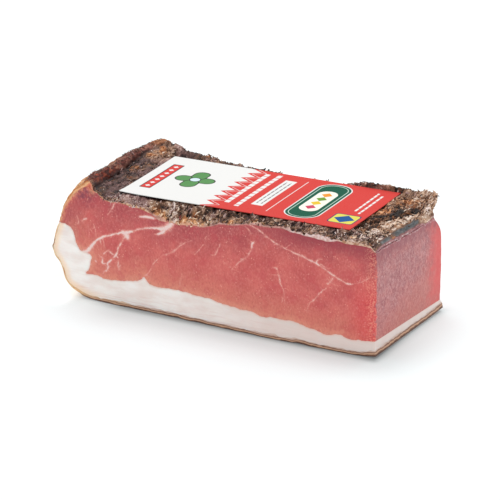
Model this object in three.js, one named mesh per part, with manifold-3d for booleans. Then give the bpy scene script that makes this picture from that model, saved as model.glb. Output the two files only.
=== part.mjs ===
// A cut block of speck ham: cured lean meat under a rough spiced crust, a layer of fat with its
// rind that runs below the meat and up its left side, and a printed card that lies on the crust.
// Millimetres, +X along the block, +Y from the front cut to the back cut, +Z up.
import * as THREE from "three";
import { mergeVertices } from "three/addons/utils/BufferGeometryUtils.js";
import Module from "manifold-3d";

// The block. While it is built, x = 0 is where the left end begins to curl up from the floor.
const cutEndX = 232; // plane of the right cut end
const cutDepth = 102; // front cut to back cut at the left
const cutDepthRight = 98; // front cut to back cut of the meat at the right end
const rindDepthRight = 101; // the rind reaches further back there
const lipHeight = 88.1; // the raised left edge of the crust
const fatTipHeight = 53.2; // where the fat ends, up the left side
const gap = 0.3; // between pieces that touch

// Left side of the front cut, as x over z: rind curl, bulge of fat, meat, then the lip
const leftSide = [
  [0, 23], [0.9, 9.1], [3.7, 1.1], [6.8, -4.9], [11.6, -9.2], [18.5, -11.4], [24.2, -14],
  [28, -17.6], [34.4, -19.8], [43.2, -17.3], [49.5, -14.9], [54.9, -13], [61.9, -11.2],
  [68.5, -8.4], [77.6, -1.6], [83.7, 2.5], [lipHeight, 9.5],
];
// Border of fat and meat in the front cut, from its tip at the left side to the cut end
const seam = [
  [-13.6, 53.2], [-7.4, 52.3], [-2.1, 47.8], [-0.3, 40.2], [3.6, 35.4], [9, 34.3], [12, 31],
  [10.1, 24], [8.6, 20.6], [12.5, 18.8], [20.7, 17.9], [30.9, 18.3], [43, 20], [51.8, 23.5],
  [60, 20], [74, 20.6], [90, 20], [106.9, 18.7], [125, 16], [145, 14], [170.1, 14.6],
  [195.7, 10.7], [212.6, 10.8], [cutEndX, 12.2],
];
// Upper edge of the front cut, as z over x, with the cleft left of its middle
const frontEdge = [
  [13, 78.2], [20.5, 76.8], [38.2, 76.6], [52.4, 75.3], [61, 72], [66, 69], [72, 68.6],
  [85, 70.3], [99.5, 70.6], [112.6, 74.4], [129.2, 77.2], [150, 79.5], [171.9, 79.5],
  [188.8, 77.6], [214, 76.4], [cutEndX, 76.4],
];
// Upper edge of the back cut
const backEdge = [
  [8, 85.5], [17, 83.6], [27, 81], [45, 80.2], [75, 78.4], [110, 78], [150, 79.2], [166, 81.3],
  [177, 82.9], [197, 84.2], [224, 83.7], [cutEndX, 80],
];
// Crest of the lip, as its shift in x over the share of the depth
const lipCrest = [[0, 0], [0.08, -3.2], [0.18, -5.4], [0.4, -6.6], [0.66, -7.8], [0.8, -5], [1, -0.6]];

// Crust
const crustLevel = 78.7; // of the flat middle that carries the card
const frontSlope = 16; // depth over which the crust rises from the front cut
const backSlope = 15; // depth over which it rises to the back edge
const endRidgeX = 225; // pale ledge before the right cut end
const grooveX = 214; // dark groove behind that ledge
const grooveDepth = 3.2;
const cragHeight = 1.7;
const cragLength = 8.5;

// Printed card
const card = { length: 172.7, width: 84.5, thickness: 0.6, x: 115.5, y: 52.6, z: 80.9 };
const cardYaw = THREE.MathUtils.degToRad(3.2);
const cardRoll = THREE.MathUtils.degToRad(-1.2);

// Fineness of the solids
const stations = 22; // slices from front to back
const topPoints = 50;
const seamPoints = 36;
const flakeStep = 8.2; // one flake of spice in each square of this size
const seed = 20;

const smooth = (v) => THREE.MathUtils.smoothstep(v, 0, 1);
const mix = THREE.MathUtils.lerp;
const bump = (v) => Math.exp(-v * v);

// A smooth function through [place, value] pairs, level beyond both ends
function through(pairs) {
  const slope = (i) => {
    const a = pairs[Math.max(i - 1, 0)];
    const b = pairs[Math.min(i + 1, pairs.length - 1)];
    return (b[1] - a[1]) / (b[0] - a[0]);
  };
  return (place) => {
    if (place <= pairs[0][0]) return pairs[0][1];
    if (place >= pairs.at(-1)[0]) return pairs.at(-1)[1];
    const i = pairs.findIndex((pair) => pair[0] > place) - 1;
    const [a, b] = [pairs[i], pairs[i + 1]];
    const width = b[0] - a[0];
    const s = (place - a[0]) / width;
    const rise = (b[1] - a[1]) / width;
    const [m0, m1] = [slope(i), slope(i + 1)];
    return a[1] + width * s * (m0 + s * (3 * rise - 2 * m0 - m1 + s * (m0 + m1 - 2 * rise)));
  };
}

const leftX = through(leftSide);
const frontZ = through(frontEdge);
const backZ = through(backEdge);
const lipShift = through(lipCrest);
const endZ = through([[0, 76.4], [12, 75.9], [26, 75], [47, 73.2], [67, 73], [cutDepth, 72.6]]);

// Seeded random numbers
function randomFrom(start) {
  let state = start;
  return () => {
    state = (state * 1664525 + 1013904223) >>> 0;
    return state / 2 ** 32;
  };
}

// Smooth bumps of random height, about one to a square of side 1
const noiseSize = 64;
const noiseTable = Array.from({ length: noiseSize * noiseSize }, randomFrom(seed));
function noise(x, y) {
  const [i, j] = [Math.floor(x), Math.floor(y)];
  const at = (a, b) => noiseTable[(a & (noiseSize - 1)) * noiseSize + (b & (noiseSize - 1))];
  const [u, v] = [smooth(x - i), smooth(y - j)];
  return 2 * mix(mix(at(i, j), at(i + 1, j), u), mix(at(i, j + 1), at(i + 1, j + 1), u), v) - 1;
}

// Where the back cut lies at x and z. Near the right end it draws in under the crust.
function backY(x, z) {
  const right = smooth((x - 130) / 100);
  const foot = mix(rindDepthRight, cutDepthRight, smooth((z - 5) / 4));
  const neck = 8 * bump((z - 73) / 8) * smooth((x - 190) / 40);
  const ledge = 2 * smooth((z - 78) / 3);
  return mix(cutDepth, foot + ledge, right) - neck;
}

// Height of the card's underside over x and y, and whether the card is there
function underCard(x, y) {
  const [dx, dy] = [x - card.x, y - card.y];
  const along = dx * Math.cos(cardYaw) + dy * Math.sin(cardYaw);
  const across = dy * Math.cos(cardYaw) - dx * Math.sin(cardYaw);
  const margin = 5.5;
  const covers =
    Math.abs(along) < card.length / 2 + margin && Math.abs(across) < card.width / 2 + margin;
  return { covers, z: card.z - card.thickness / 2 + across * Math.tan(cardRoll) };
}

// Height of the crust
function crustZ(x, y) {
  const back = backY(x, crustLevel);
  let z = mix(frontZ(x), crustLevel, smooth(y / frontSlope));
  z = mix(z, backZ(x), smooth((y - back + backSlope) / (backSlope - 3)));
  z -= grooveDepth * bump((x - grooveX - 5 * (y / cutDepth)) / 5) * smooth((y - 8) / 20);
  z += cragHeight * noise(x / cragLength, y / cragLength);
  z += 0.5 * cragHeight * noise(2.1 * x / cragLength + 9, 2.1 * y / cragLength);
  z = mix(z, endZ(y), smooth((x - endRidgeX) / (cutEndX - endRidgeX)));
  const below = underCard(x, y);
  return below.covers ? Math.min(z, below.z - 2 * gap) : z;
}

// The left side moves with the lip, which bulges outwards between the cuts
function leftPoint(z, t) {
  return [leftX(z) + lipShift(t) * smooth((z - 45) / 35), z];
}

// The seam in the slice at share t of the depth, moved off the fat by the given distance
function seamLine(t, off) {
  const curve = new THREE.SplineCurve(seam.map(([x, z]) => new THREE.Vector2(x, z)));
  const change = (x) => t * smooth((x - 20) / 30) * (2 * Math.sin(x / 19) - 0.011 * x);
  return Array.from({ length: seamPoints + 1 }, (_, i) => {
    const point = curve.getPointAt(i / seamPoints);
    const along = curve.getTangentAt(i / seamPoints);
    return [point.x - off * along.y, point.y + off * along.x + change(point.x)];
  });
}

// Slice of the meat, clockwise from the seam's tip: seam, cut end, crust, lip and left side
function meatSlice(t) {
  const points = seamLine(t, gap);
  const endTop = crustZ(cutEndX, t * backY(cutEndX, 73));
  const endFoot = points.at(-1)[1];
  points.at(-1)[0] = cutEndX;
  for (const share of [0.25, 0.5, 0.75]) {
    points.push([cutEndX + Math.sin(Math.PI * share) * 0.8, mix(endFoot, endTop, share)]);
  }
  const crestX = leftX(lipHeight) + lipShift(t);
  const footX = crestX + 3.4;
  for (let i = 0; i <= topPoints; i += 1) {
    const x = mix(cutEndX, footX, i / topPoints);
    const y = t * backY(x, crustLevel);
    const atFoot = mix(78, 81.5, smooth((t - 0.6) / 0.4));
    points.push([x, mix(crustZ(x, y), atFoot, smooth(1 - (x - footX) / 8))]);
  }
  points.push([crestX + 2.6, 84.2], [crestX + 1.6, 87.3], [crestX - 0.6, lipHeight]);
  for (const z of [86.3, 83.7, 78, 72, 66, 60]) {
    points.push(leftPoint(z, t));
  }
  return points;
}

// Slice of the fat: seam, cut end, flat underside, rind curl and left side
function fatSlice(t) {
  const points = seamLine(t, 0);
  points.at(-1)[0] = cutEndX;
  points.push([cutEndX + 0.3, 8], [cutEndX, 4.6], [cutEndX - 2, 2.8], [cutEndX - 8, 0.8]);
  for (let x = cutEndX - 17; x > leftSide[0][1] + 5; x -= 15) {
    points.push([x, 0]);
  }
  const curlPoints = 16;
  for (let i = 0; i < curlPoints; i += 1) {
    points.push(leftPoint((fatTipHeight - 1) * (i / curlPoints) ** 1.5, t));
  }
  return points;
}

// A closed solid from slices that run from the front cut to the back cut
function loft(slice) {
  const rings = Array.from({ length: stations + 1 }, (_, k) => slice(k / stations));
  const outlines = rings.map((ring) => ring.map(([x, z]) => new THREE.Vector2(x, z)));
  if (THREE.ShapeUtils.isClockWise(outlines[0])) {
    outlines.forEach((outline) => outline.reverse());
  }
  const count = outlines[0].length;
  const positions = [];
  outlines.forEach((outline, k) => {
    for (const { x, y: z } of outline) {
      positions.push(x, (k / stations) * backY(x, z), z);
    }
  });
  const index = [];
  for (let k = 0; k < stations; k += 1) {
    for (let i = 0; i < count; i += 1) {
      const j = (i + 1) % count;
      const [a, b, c, d] = [k * count + i, k * count + j, (k + 1) * count + j, (k + 1) * count + i];
      index.push(a, c, b, a, d, c);
    }
  }
  const last = stations * count;
  for (const [a, b, c] of THREE.ShapeUtils.triangulateShape(outlines[0], [])) {
    index.push(a, b, c);
  }
  for (const [a, b, c] of THREE.ShapeUtils.triangulateShape(outlines[stations], [])) {
    index.push(last + a, last + c, last + b);
  }
  const geometry = new THREE.BufferGeometry();
  geometry.setAttribute("position", new THREE.Float32BufferAttribute(positions, 3));
  geometry.setIndex(index);
  return geometry;
}

const wasm = await Module();
wasm.setup();

function toManifold(geometry) {
  const bare = geometry.clone();
  bare.deleteAttribute("normal");
  bare.deleteAttribute("uv");
  const merged = mergeVertices(bare, 1e-4);
  return new wasm.Manifold(
    new wasm.Mesh({
      numProp: 3,
      vertProperties: new Float32Array(merged.attributes.position.array),
      triVerts: new Uint32Array(merged.index.array),
    }),
  );
}

function toGeometry(manifold) {
  const mesh = manifold.getMesh();
  const geometry = new THREE.BufferGeometry();
  geometry.setAttribute("position", new THREE.Float32BufferAttribute(mesh.vertProperties, 3));
  geometry.setIndex(new THREE.Uint32BufferAttribute(mesh.triVerts, 1));
  return geometry;
}

// One flake of spice, lying in the crust: a needle, a cracked grain or a chip
function flake(random) {
  const kind = random();
  let geometry = new THREE.BoxGeometry(4 + 2 * random(), 2.4 + random(), 1.6);
  if (kind < 0.4) {
    geometry = new THREE.CylinderGeometry(0.7, 0.9, 6 + 4 * random(), 5).rotateZ(Math.PI / 2);
  } else if (kind < 0.75) {
    geometry = new THREE.IcosahedronGeometry(1.5 + 0.8 * random(), 0).scale(1, 1, 0.75);
  }
  geometry.rotateY(0.5 * (random() - 0.5));
  return geometry.rotateZ(Math.PI * random());
}

// The flakes, one to a square over the bare crust, clear of the card
function flakes() {
  const random = randomFrom(seed + 1);
  const found = [];
  const edge = 4;
  for (let x = leftX(lipHeight) + 6; x < cutEndX - 9; x += flakeStep) {
    for (let y = edge; y < cutDepth - edge; y += flakeStep) {
      const geometry = flake(random);
      const [px, py] = [x + 4 * random(), Math.min(y + 4 * random(), cutDepthRight - edge)];
      const deeper = 0.2 + 0.4 * random();
      if (underCard(px, py).covers) continue;
      found.push(geometry.translate(px, py, crustZ(px, py) - deeper));
    }
  }
  return found;
}

function meatGeometry() {
  let solid = toManifold(loft(meatSlice));
  for (const geometry of flakes()) {
    solid = solid.add(toManifold(geometry));
  }
  return toGeometry(solid);
}

function cardGeometry() {
  const geometry = new THREE.BoxGeometry(card.length, card.width, card.thickness);
  geometry.rotateX(cardRoll).rotateZ(cardYaw);
  return geometry.translate(card.x, card.y, card.z);
}

function piece(name, geometry, color, roughness) {
  const material = new THREE.MeshStandardMaterial({ color, roughness, metalness: 0 });
  const mesh = new THREE.Mesh(geometry, material);
  mesh.name = name;
  return mesh;
}

const group = new THREE.Group();
group.add(piece("lean", meatGeometry(), 0xb9555a, 0.4));
group.add(piece("fat", loft(fatSlice), 0xeed9d2, 0.45));
group.add(piece("label", cardGeometry(), 0xe04a4a, 0.5));

// The origin is the middle of the underside of the block's box
const box = new THREE.Box3().setFromObject(group);
const middle = box.getCenter(new THREE.Vector3());
group.position.set(-middle.x, -middle.y, -box.min.z);

export default group;
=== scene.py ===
# A cut block of speck ham: lean meat with marbling, a layer of fat with its rind below it and up
# the left side, a rough crust of smoke and spice, and a printed card that lies on the crust.
# Metres, +X along the block, +Y from the front cut to the back cut, +Z up.
import math

import bpy
import numpy as np
from mathutils import Euler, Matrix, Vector, geometry


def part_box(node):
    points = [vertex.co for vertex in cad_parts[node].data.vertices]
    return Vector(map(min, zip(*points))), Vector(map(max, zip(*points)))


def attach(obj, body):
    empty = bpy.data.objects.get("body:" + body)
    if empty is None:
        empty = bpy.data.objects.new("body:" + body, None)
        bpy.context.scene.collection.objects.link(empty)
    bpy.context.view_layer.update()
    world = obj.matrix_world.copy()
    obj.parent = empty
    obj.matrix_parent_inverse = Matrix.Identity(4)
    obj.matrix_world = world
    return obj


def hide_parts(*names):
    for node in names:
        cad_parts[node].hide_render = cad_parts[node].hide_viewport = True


MM = 0.001
SEED = 11

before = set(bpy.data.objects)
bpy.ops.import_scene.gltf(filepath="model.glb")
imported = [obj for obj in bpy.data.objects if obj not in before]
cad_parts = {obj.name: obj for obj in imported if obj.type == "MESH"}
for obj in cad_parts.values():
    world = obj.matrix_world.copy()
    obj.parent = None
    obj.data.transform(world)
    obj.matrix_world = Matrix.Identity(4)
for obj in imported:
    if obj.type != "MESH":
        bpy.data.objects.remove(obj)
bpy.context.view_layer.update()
MEAT_TOP = Vector(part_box("lean")[1]).z
FAT_LOW, FAT_HIGH = (Vector(corner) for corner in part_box("fat"))
CARD_LOW, CARD_HIGH = (Vector(corner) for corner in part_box("label"))

# Places on the block are measured from where its left end begins to curl up, at the front cut.
LEFT_REACH = 19.8 * MM  # how far the fat bulges to the left of that place
BLOCK_X = FAT_LOW.x + LEFT_REACH
BLOCK_Y = FAT_LOW.y
END_X = 232 * MM  # right cut end
DEPTH = FAT_HIGH.y - FAT_LOW.y  # front cut to back cut
DEPTH_RIGHT = DEPTH - 4 * MM  # the same for the meat at the right end
RIND_DEPTH_RIGHT = DEPTH - 1 * MM
LIP_HEIGHT = MEAT_TOP - 0.9 * MM  # the crust's raised left edge
FAT_TIP = 53.2 * MM  # height where the fat ends, up the left side
CRUST_LEVEL = 78.7 * MM  # the flat middle that carries the card
RIND_THICKNESS = 3.1 * MM

# Left side of the front cut, as x over z
LEFT_SIDE = MM * np.array([
    [0, 23], [0.9, 9.1], [3.7, 1.1], [6.8, -4.9], [11.6, -9.2], [18.5, -11.4], [24.2, -14.2],
    [27.3, -17.3], [31, -18.6], [34.4, -19.8], [35.6, -19.0], [43.2, -17.3], [49.5, -15.4],
    [52.6, -13.8], [54.9, -13.5], [61.9, -11.8], [68.5, -9], [77.6, -2.2], [83.7, 1.2], [88.1, 8.5],
])
# Border of fat and meat in the front cut, from its tip at the left side to the cut end
SEAM = MM * np.array([
    [-13.6, 53.2], [-10.2, 52.6], [-7.4, 52.3], [-4.4, 50.6], [-2.1, 47.8], [-0.9, 44], [-0.3, 40.2],
    [1.4, 37.2], [3.6, 35.4], [6.3, 34.9], [9.6, 34.6], [11.8, 32.6], [12, 30.2], [11.2, 26.8],
    [10.4, 24], [9, 21.4], [7.4, 19.4], [10.2, 19.2], [13.6, 19.6], [18.2, 18.7], [23.2, 17.7],
    [28.2, 17.8], [39.2, 19.5], [47.6, 21], [51.2, 23], [53.8, 25.2], [56, 23.2], [58, 20.8],
    [62.9, 19.6], [74, 20.3], [85, 20.2], [96, 19.2], [106.9, 18.7], [117.8, 16.7], [128.7, 15.8],
    [139.9, 15.7], [145.3, 13.4],
    [154, 14.8], [161.5, 14.3], [170.1, 14.9], [177.5, 13.3], [187.2, 11.7], [195.7, 10.3],
    [204.1, 11.9], [212.6, 10.6], [220, 11], [232, 12.2],
])
# Upper edge of the front cut, as z over x
FRONT_EDGE = MM * np.array([
    [13, 81.2], [14.4, 80.8], [16, 79.8], [18.8, 78.3], [22, 77.2], [25.6, 76.4], [38.2, 76.7],
    [43.3, 76.2], [52.4, 75.4],
    [57.9, 73.8], [62.3, 71.6], [65.6, 69.3], [71.1, 68.6], [79.9, 70.2], [90.8, 70.6], [99.5, 70.4],
    [105, 71.7], [112.6, 74.6], [123.4, 76], [129.2, 77.3], [139.9, 79.3], [150.6, 79.7],
    [161, 79.8], [171.9, 79], [180.4, 79.2], [188.8, 79.8], [198.7, 79.6], [208, 79.7], [219, 79],
    [226.6, 78.2], [232, 76.4],
])
# Upper edge of the back cut, as z over x
BACK_EDGE = MM * np.array([
    [16, 86], [19.3, 84.2], [22.5, 82.8], [25.7, 82.2], [35.4, 81.6], [45, 81], [52, 80.1],
    [58, 79.2], [70, 78.6], [80, 78.2], [110, 77],
    [150, 77.4], [158, 78.8], [163.5, 81], [171, 82.6], [185, 83.1], [200, 83.5], [210, 83.2],
    [217, 84.4], [226, 84.8], [232, 84.4],
])
# Upper edge of the right cut end, as z over y
END_EDGE = MM * np.array([[0, 76.3], [12, 76.6], [26, 75.8], [46.6, 74], [67.5, 73], [85, 72.4], [102, 73]])
# The crust at the right end, as x over y: a groove in painted shade, a pale ridge, and its fall to the end
CREASE = MM * np.array([
    [34, 200], [41, 210], [47, 215.5], [54, 219.9], [61, 223.3], [70, 225.8], [82, 227],
    [92, 227.6],
])
PALE_RIDGE = MM * np.array([
    [12, 213.4], [24, 218.8], [40, 221], [50, 224.9], [60, 227.6], [70, 229.8], [84, 230.6],
])
FALL = MM * np.array([
    [0, 228], [12, 226.4], [24, 225.2], [36, 225.4], [48, 226.4], [60, 227.6], [72, 229.2], [90, 230.4],
])
# The lip, over the share of the depth: x of its crest, how far that is below the top, x and z of
# its foot, and how far the side below it is right of its place at the front cut
LIP = np.array([
    [0, 10, 0.2, 14.2, 81.2, 0], [0.06, 8, 1, 12.8, 81, -1.6], [0.12, 6.3, 0.9, 11.6, 80.4, -3.2],
    [0.18, 4.9, 0.3, 10.6, 79.8, -4.5], [0.3, 5.2, 0.8, 9.9, 79.5, -4.3],
    [0.4, 5.3, 2.3, 9.5, 79.4, -4.2], [0.46, 5.1, 3.4, 9.2, 79.3, -4.4],
    [0.53, 4.4, 2.3, 8.9, 79.4, -5.1], [0.6, 3.8, 1.4, 8.4, 80.2, -5.7], [0.68, 3.7, 0.9, 8, 80.6, -5.8],
    [0.76, 3.8, 1.7, 8, 81.4, -5.7], [0.84, 4.4, 2.1, 8.6, 82.6, -5.1], [0.91, 5.6, 1.6, 9.9, 83.6, -3.9],
    [0.96, 8.5, 0.2, 13, 84.8, -1.4], [1, 12.4, 0, 18, 86, 0.8],
])
# How deep the crust is at its cuts, over x
RIM_DEPTH = MM * np.array([
    [14, 1.4], [20, 1.1], [40, 1.1], [58, 1.6], [70, 1.2], [90, 1.3], [130, 1.1], [161, 0.9],
    [176, 1.2], [184.6, 2.1], [192, 3], [198.7, 2.3], [202.4, 1.4], [208, 2], [214, 2], [220, 1.4],
    [230, 0.9],
])

# Veins of fat in the front cut, as x, z and width
VEINS = [MM * np.array(vein) for vein in (
    # The main one, from the border of the fat over a knob up to the cleft
    [[5.9, 34.1, 3], [9.3, 36.7, 2.4], [12.8, 41, 1.9], [15.7, 44.3, 1.7], [19.1, 47, 1.6],
     [22.5, 49.2, 1.5], [26.9, 50.5, 1.1], [31.4, 52.4, 1.1], [35.9, 53.9, 1.6], [38.4, 54.4, 2.4],
     [41.8, 55.4, 1.8], [46.5, 57.7, 1], [49.9, 59, 0.9], [54.9, 60.7, 1.1], [59.8, 61.8, 1.2],
     [64.3, 62.4, 1.6], [68.4, 62.6, 3], [72.4, 64.4, 4.2], [75.4, 67.6, 3.4], [76.8, 70.6, 1.8],
     [76.5, 73, 1]],
    [[37.4, 54.9, 2.2], [39.6, 53.6, 4], [41.2, 51.9, 3]],
    [[70, 61.4, 2.6], [66, 58.8, 1.3], [62.6, 57.7, 0.7]],
    [[15.7, 44.1, 0.8], [16.4, 42.4, 0.7], [17, 41, 0.5]],
    [[19, 46.2, 0.7], [19.6, 44.2, 0.6], [20.1, 42.6, 0.5]],
    [[21.3, 47.2, 0.6], [22, 44.4, 0.6], [22.6, 41.2, 0.4]],
    [[13.2, 41.2, 0.6], [13.6, 39.4, 0.6], [13.4, 37.8, 0.4]],
    # Its branch down to the left, and the crumbs of fat beside it
    [[38.6, 51, 0.8], [37.8, 49.7, 0.9], [35.8, 46.2, 0.9], [33.8, 42.8, 1.1], [33.2, 39.9, 1.1],
     [31.5, 37, 1.1], [29.2, 34, 0.9], [26.7, 31.7, 1.1], [25, 29.6, 1], [25.2, 27.3, 1.1],
     [24.3, 24.6, 1], [22.6, 23.2, 0.8], [20.9, 21.1, 0.6]],
    [[31.8, 36.8, 0.7], [33.2, 35, 0.8], [33.4, 33, 0.8], [33.1, 30.1, 0.9], [33.6, 28.6, 0.9]],
    [[33.6, 28.8, 0.7], [35.6, 30.5, 0.5]],
    [[24.3, 24.6, 0.7], [26.8, 24, 0.4]],
    [[29.6, 37, 0.7], [28.2, 37.6, 0.8], [26.2, 39.1, 1.1], [24, 37.9, 0.7], [22, 36.5, 1.2]],
    [[19.4, 33.7, 0.9], [20.8, 33.2, 1], [21.3, 31.7, 0.9], [21, 29.4, 1.2], [23.3, 29.5, 0.8],
     [25.5, 30.2, 0.8]],
    # The short thick streak left of the cleft
    [[50.4, 68.4, 1], [53.4, 68.9, 1.7], [57, 69.1, 2], [60.8, 69.2, 1.4], [63.6, 69.6, 1]],
    [[31.1, 75, 0.6], [29.8, 71.8, 0.7], [27.7, 68.6, 0.6], [25.6, 65.5, 0.4]],
    # From the peak of the fat up to the right
    [[52.9, 23.9, 0.6], [57.4, 28.8, 0.6], [62, 36.9, 0.6], [68.6, 43.2, 0.6], [74.2, 46.3, 0.8],
     [79.7, 50.4, 0.8], [85.2, 55.4, 0.6], [91.8, 58.7, 0.4]],
    [[113.1, 59.5, 0.8], [111.4, 55.2, 0.7], [110, 52, 1], [107.1, 50.9, 0.5]],
    [[101, 57.4, 0.4], [97, 52.4, 0.5], [93.6, 48.6, 0.4]],
    [[137.6, 61.4, 0.7], [134.7, 54.9, 0.7], [128.2, 49.6, 0.7], [122.8, 43.4, 0.4]],
    [[139.4, 66.4, 0.9], [138.4, 64.6, 1.2], [137.9, 61.6, 1], [136.9, 58.4, 0.5]],
    [[133.5, 54, 0.8], [131.4, 52.6, 0.8], [129.1, 52.2, 0.6]],
    [[137.4, 72, 0.6], [135.6, 74.4, 0.7], [133.2, 76, 0.6], [128.4, 77, 0.4]],
    # The long one at the right
    [[132.6, 79, 0.7], [137.9, 77.6, 0.8], [144.2, 74.9, 0.8], [150.2, 71.3, 0.8], [158.1, 67.8, 0.7],
     [164.7, 65.7, 0.7], [170, 64.2, 0.8], [175.3, 63.2, 1], [181, 61.4, 0.8], [187, 59.5, 1.1],
     [191.4, 57.6, 0.9], [196.5, 55.1, 1], [202.9, 52.3, 1.1], [207.4, 50.4, 0.5],
     [211.4, 49.6, 0.9], [215.6, 50.6, 0.4], [221, 52.9, 0.6], [226.4, 56.6, 0.4]],
    [[187, 59.5, 0.8], [188.5, 62.8, 0.8], [191.2, 63.4, 0.5]],
    [[190.1, 59.6, 0.7], [195.4, 57.6, 0.7], [197, 58.4, 0.5]],
    [[199.4, 51, 0.8], [197.8, 48.6, 1.1], [195.6, 46.6, 0.9]],
    [[196, 50.2, 0.5], [198, 48.6, 0.7], [201.4, 46.4, 0.5]],
    [[194.5, 43.4, 0.6], [191.4, 40.6, 0.6], [188.2, 37.2, 0.7], [185, 32.6, 0.7], [181.9, 30, 0.6],
     [180.3, 23.6, 0.3]],
    [[153.4, 50.2, 0.5], [156.7, 50.4, 0.8], [158.8, 44.8, 0.8], [160.5, 39, 0.7], [162.6, 34.4, 0.6],
     [163.2, 27.4, 0.4]],
    # Faint streaks
    [[83.7, 33, 0.4], [82.7, 28.6, 0.7], [81.7, 24.8, 0.4]],
    [[33.8, 29, 0.6], [34.2, 27.4, 0.9], [33.8, 25.6, 0.6]],
    [[10, 27, 0.8], [11.4, 26.4, 1.1], [12.6, 26.6, 0.6]],
    [[14.8, 30.2, 0.6], [15.8, 29.4, 1], [16.6, 28.6, 0.5]],
    [[4.4, 57, 0.8], [6.2, 58.4, 1], [8.4, 59.6, 0.8]],
    [[1.1, 60.2, 0.6], [2, 57, 0.7], [1.6, 54.4, 0.5]],
    [[9.6, 55, 0.5], [10.4, 50, 0.6], [10.2, 45.4, 0.5]],
    [[14.6, 56, 0.5], [15.6, 51, 0.5], [16, 47.6, 0.4]],
)]

# The grey strip on the crust's fall to the right end, in shares of that fall
STRIP_TOP = 0.27
STRIP_FOOT = 0.74

# How fine the pieces are
CUT_STEP = 1.15 * MM  # between the points inside a cut face
MEAT_STEP = 1.2 * MM  # from slice to slice in the meat and fat
RIND_CUT_STEP = 0.45 * MM
RIND_STEP = 1.6 * MM
CRUST_CUT_STEP = 0.9 * MM
CRUST_STEP = 0.82 * MM  # behind its front strip
VEIN_STEP = 0.6 * MM  # between the points along a vein
SEAM_POINTS = 235  # in each slice, along the border of fat and meat
CORE_POINTS = 250  # between meat and crust
END_POINTS = 58  # up the cut end
OUTLINE_POINTS = 260  # around the rind
CRUST_POINTS = 560  # over the crust
CRUST_BACKING = 110  # and under it
GAP_SLICES = 12  # steps of the depth at which distances to a line are taken
EDGE_SLICES = MM * np.array([0, 0.15, 0.45, 0.95])  # close to both cuts

# How many bits are drawn over the crust, before those below the card are left out
SHAVINGS = 6600
CRUMBS = 3600
FLAKES = 1900
NEEDLES = 1300
FIBRES = 760

# How the edges are finished
CUT_ROUNDING = 0.5 * MM
END_ROUNDING = 0.7 * MM
CRUST_ROUNDING = 0.8 * MM
END_INSET = 0.6 * MM  # how far the meat's end lies inside the block's
CARD_GAP = 0.9 * MM  # room that the crust leaves below the card

# The card, as in the frame
CARD_YAW = math.radians(3.2)
CARD_ROLL = math.radians(-1.2)
CARD_LENGTH = 172.7 * MM
CARD_WIDTH = 84.5 * MM
CARD_THICKNESS = 0.45 * MM
CARD_WAVE = 0.35 * MM
CARD_CURL = 0.5 * MM  # at its front left corner
CURL_REACH = 16 * MM
CARD_MIDDLE = (CARD_LOW + CARD_HIGH) / 2


def smooth(value):
    """0 up to 0, 1 from 1 on, and an even rise between."""
    v = np.clip(value, 0, 1)
    return v * v * (3 - 2 * v)


def mix(a, b, share):
    """a where the share is 0, and b where it is 1."""
    return a + (b - a) * share


def bump(value):
    """1 at 0, and less on both sides of it."""
    return np.exp(-np.square(value))


def past(value, place, reach):
    """0 up to a place in mm, and 1 from a reach beyond it on."""
    return smooth((value - place * MM) / (reach * MM))


def until(value, place, reach):
    """1 up to a reach before a place in mm, and 0 from that place on."""
    return smooth((place * MM - value) / (reach * MM))


def around(value, place, reach):
    """1 at a place in mm, and less on both sides of it."""
    return bump((value - place * MM) / (reach * MM))


def through(pairs):
    """A smooth function through [place, value] pairs, level beyond both ends."""
    x, v = np.array(pairs).T
    m = np.empty_like(v)
    m[1:-1] = (v[2:] - v[:-2]) / (x[2:] - x[:-2])
    m[0] = (v[1] - v[0]) / (x[1] - x[0])
    m[-1] = (v[-1] - v[-2]) / (x[-1] - x[-2])

    def value(place):
        p = np.clip(place, x[0], x[-1])
        i = np.clip(np.searchsorted(x, p, side="right") - 1, 0, len(x) - 2)
        width = x[i + 1] - x[i]
        s = (p - x[i]) / width
        rise = (v[i + 1] - v[i]) / width
        bend = s * (3 * rise - 2 * m[i] - m[i + 1] + s * (m[i] + m[i + 1] - 2 * rise))
        return v[i] + width * s * (m[i] + bend)

    return value


def along(points, step=None, count=None):
    """Even steps along a smooth line through the given points, in all their columns."""
    points = np.asarray(points, float)
    lengths = np.hypot(*np.diff(points[:, :2], axis=0).T)
    places = np.concatenate([[0], np.cumsum(lengths)])
    fine = np.linspace(0, places[-1], 40 * len(points))
    line = np.stack([through(np.stack([places, column], 1))(fine) for column in points.T], 1)
    run = np.concatenate([[0], np.cumsum(np.hypot(*np.diff(line[:, :2], axis=0).T))])
    if count is None:
        count = max(2, int(round(run[-1] / step)) + 1)
    even = np.linspace(0, run[-1], count)
    return np.stack([np.interp(even, run, column) for column in line.T], 1)


def normals_of(line):
    """Unit normals to the left of a line in the plane."""
    direction = np.gradient(line, axis=0)
    direction /= np.hypot(*direction.T)[:, None] + 1e-12
    return np.stack([-direction[:, 1], direction[:, 0]], 1)


LATTICE = 64  # cubes of noise along each side, before it repeats
LATTICE_START = 31.7  # keeps places of the block off the lattice's own start
LATTICE_VALUES = np.random.default_rng(SEED).random((LATTICE, LATTICE, LATTICE))


def noise(x, y, z, size):
    """Smooth random bumps between -1 and 1, one to a cube of the given size in mm."""
    cells = [np.asarray(v, float) / (size * MM) + LATTICE_START for v in (x, y, z)]
    low = [np.floor(c).astype(int) for c in cells]
    share = [smooth(c - f) for c, f in zip(cells, low)]
    total = 0
    for corner in range(8):
        pick = [(corner >> axis) & 1 for axis in range(3)]
        weight = 1
        for axis in range(3):
            weight = weight * (share[axis] if pick[axis] else 1 - share[axis])
        at = tuple((low[axis] + pick[axis]) % LATTICE for axis in range(3))
        total = total + weight * LATTICE_VALUES[at]
    return 2 * total - 1


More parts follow.
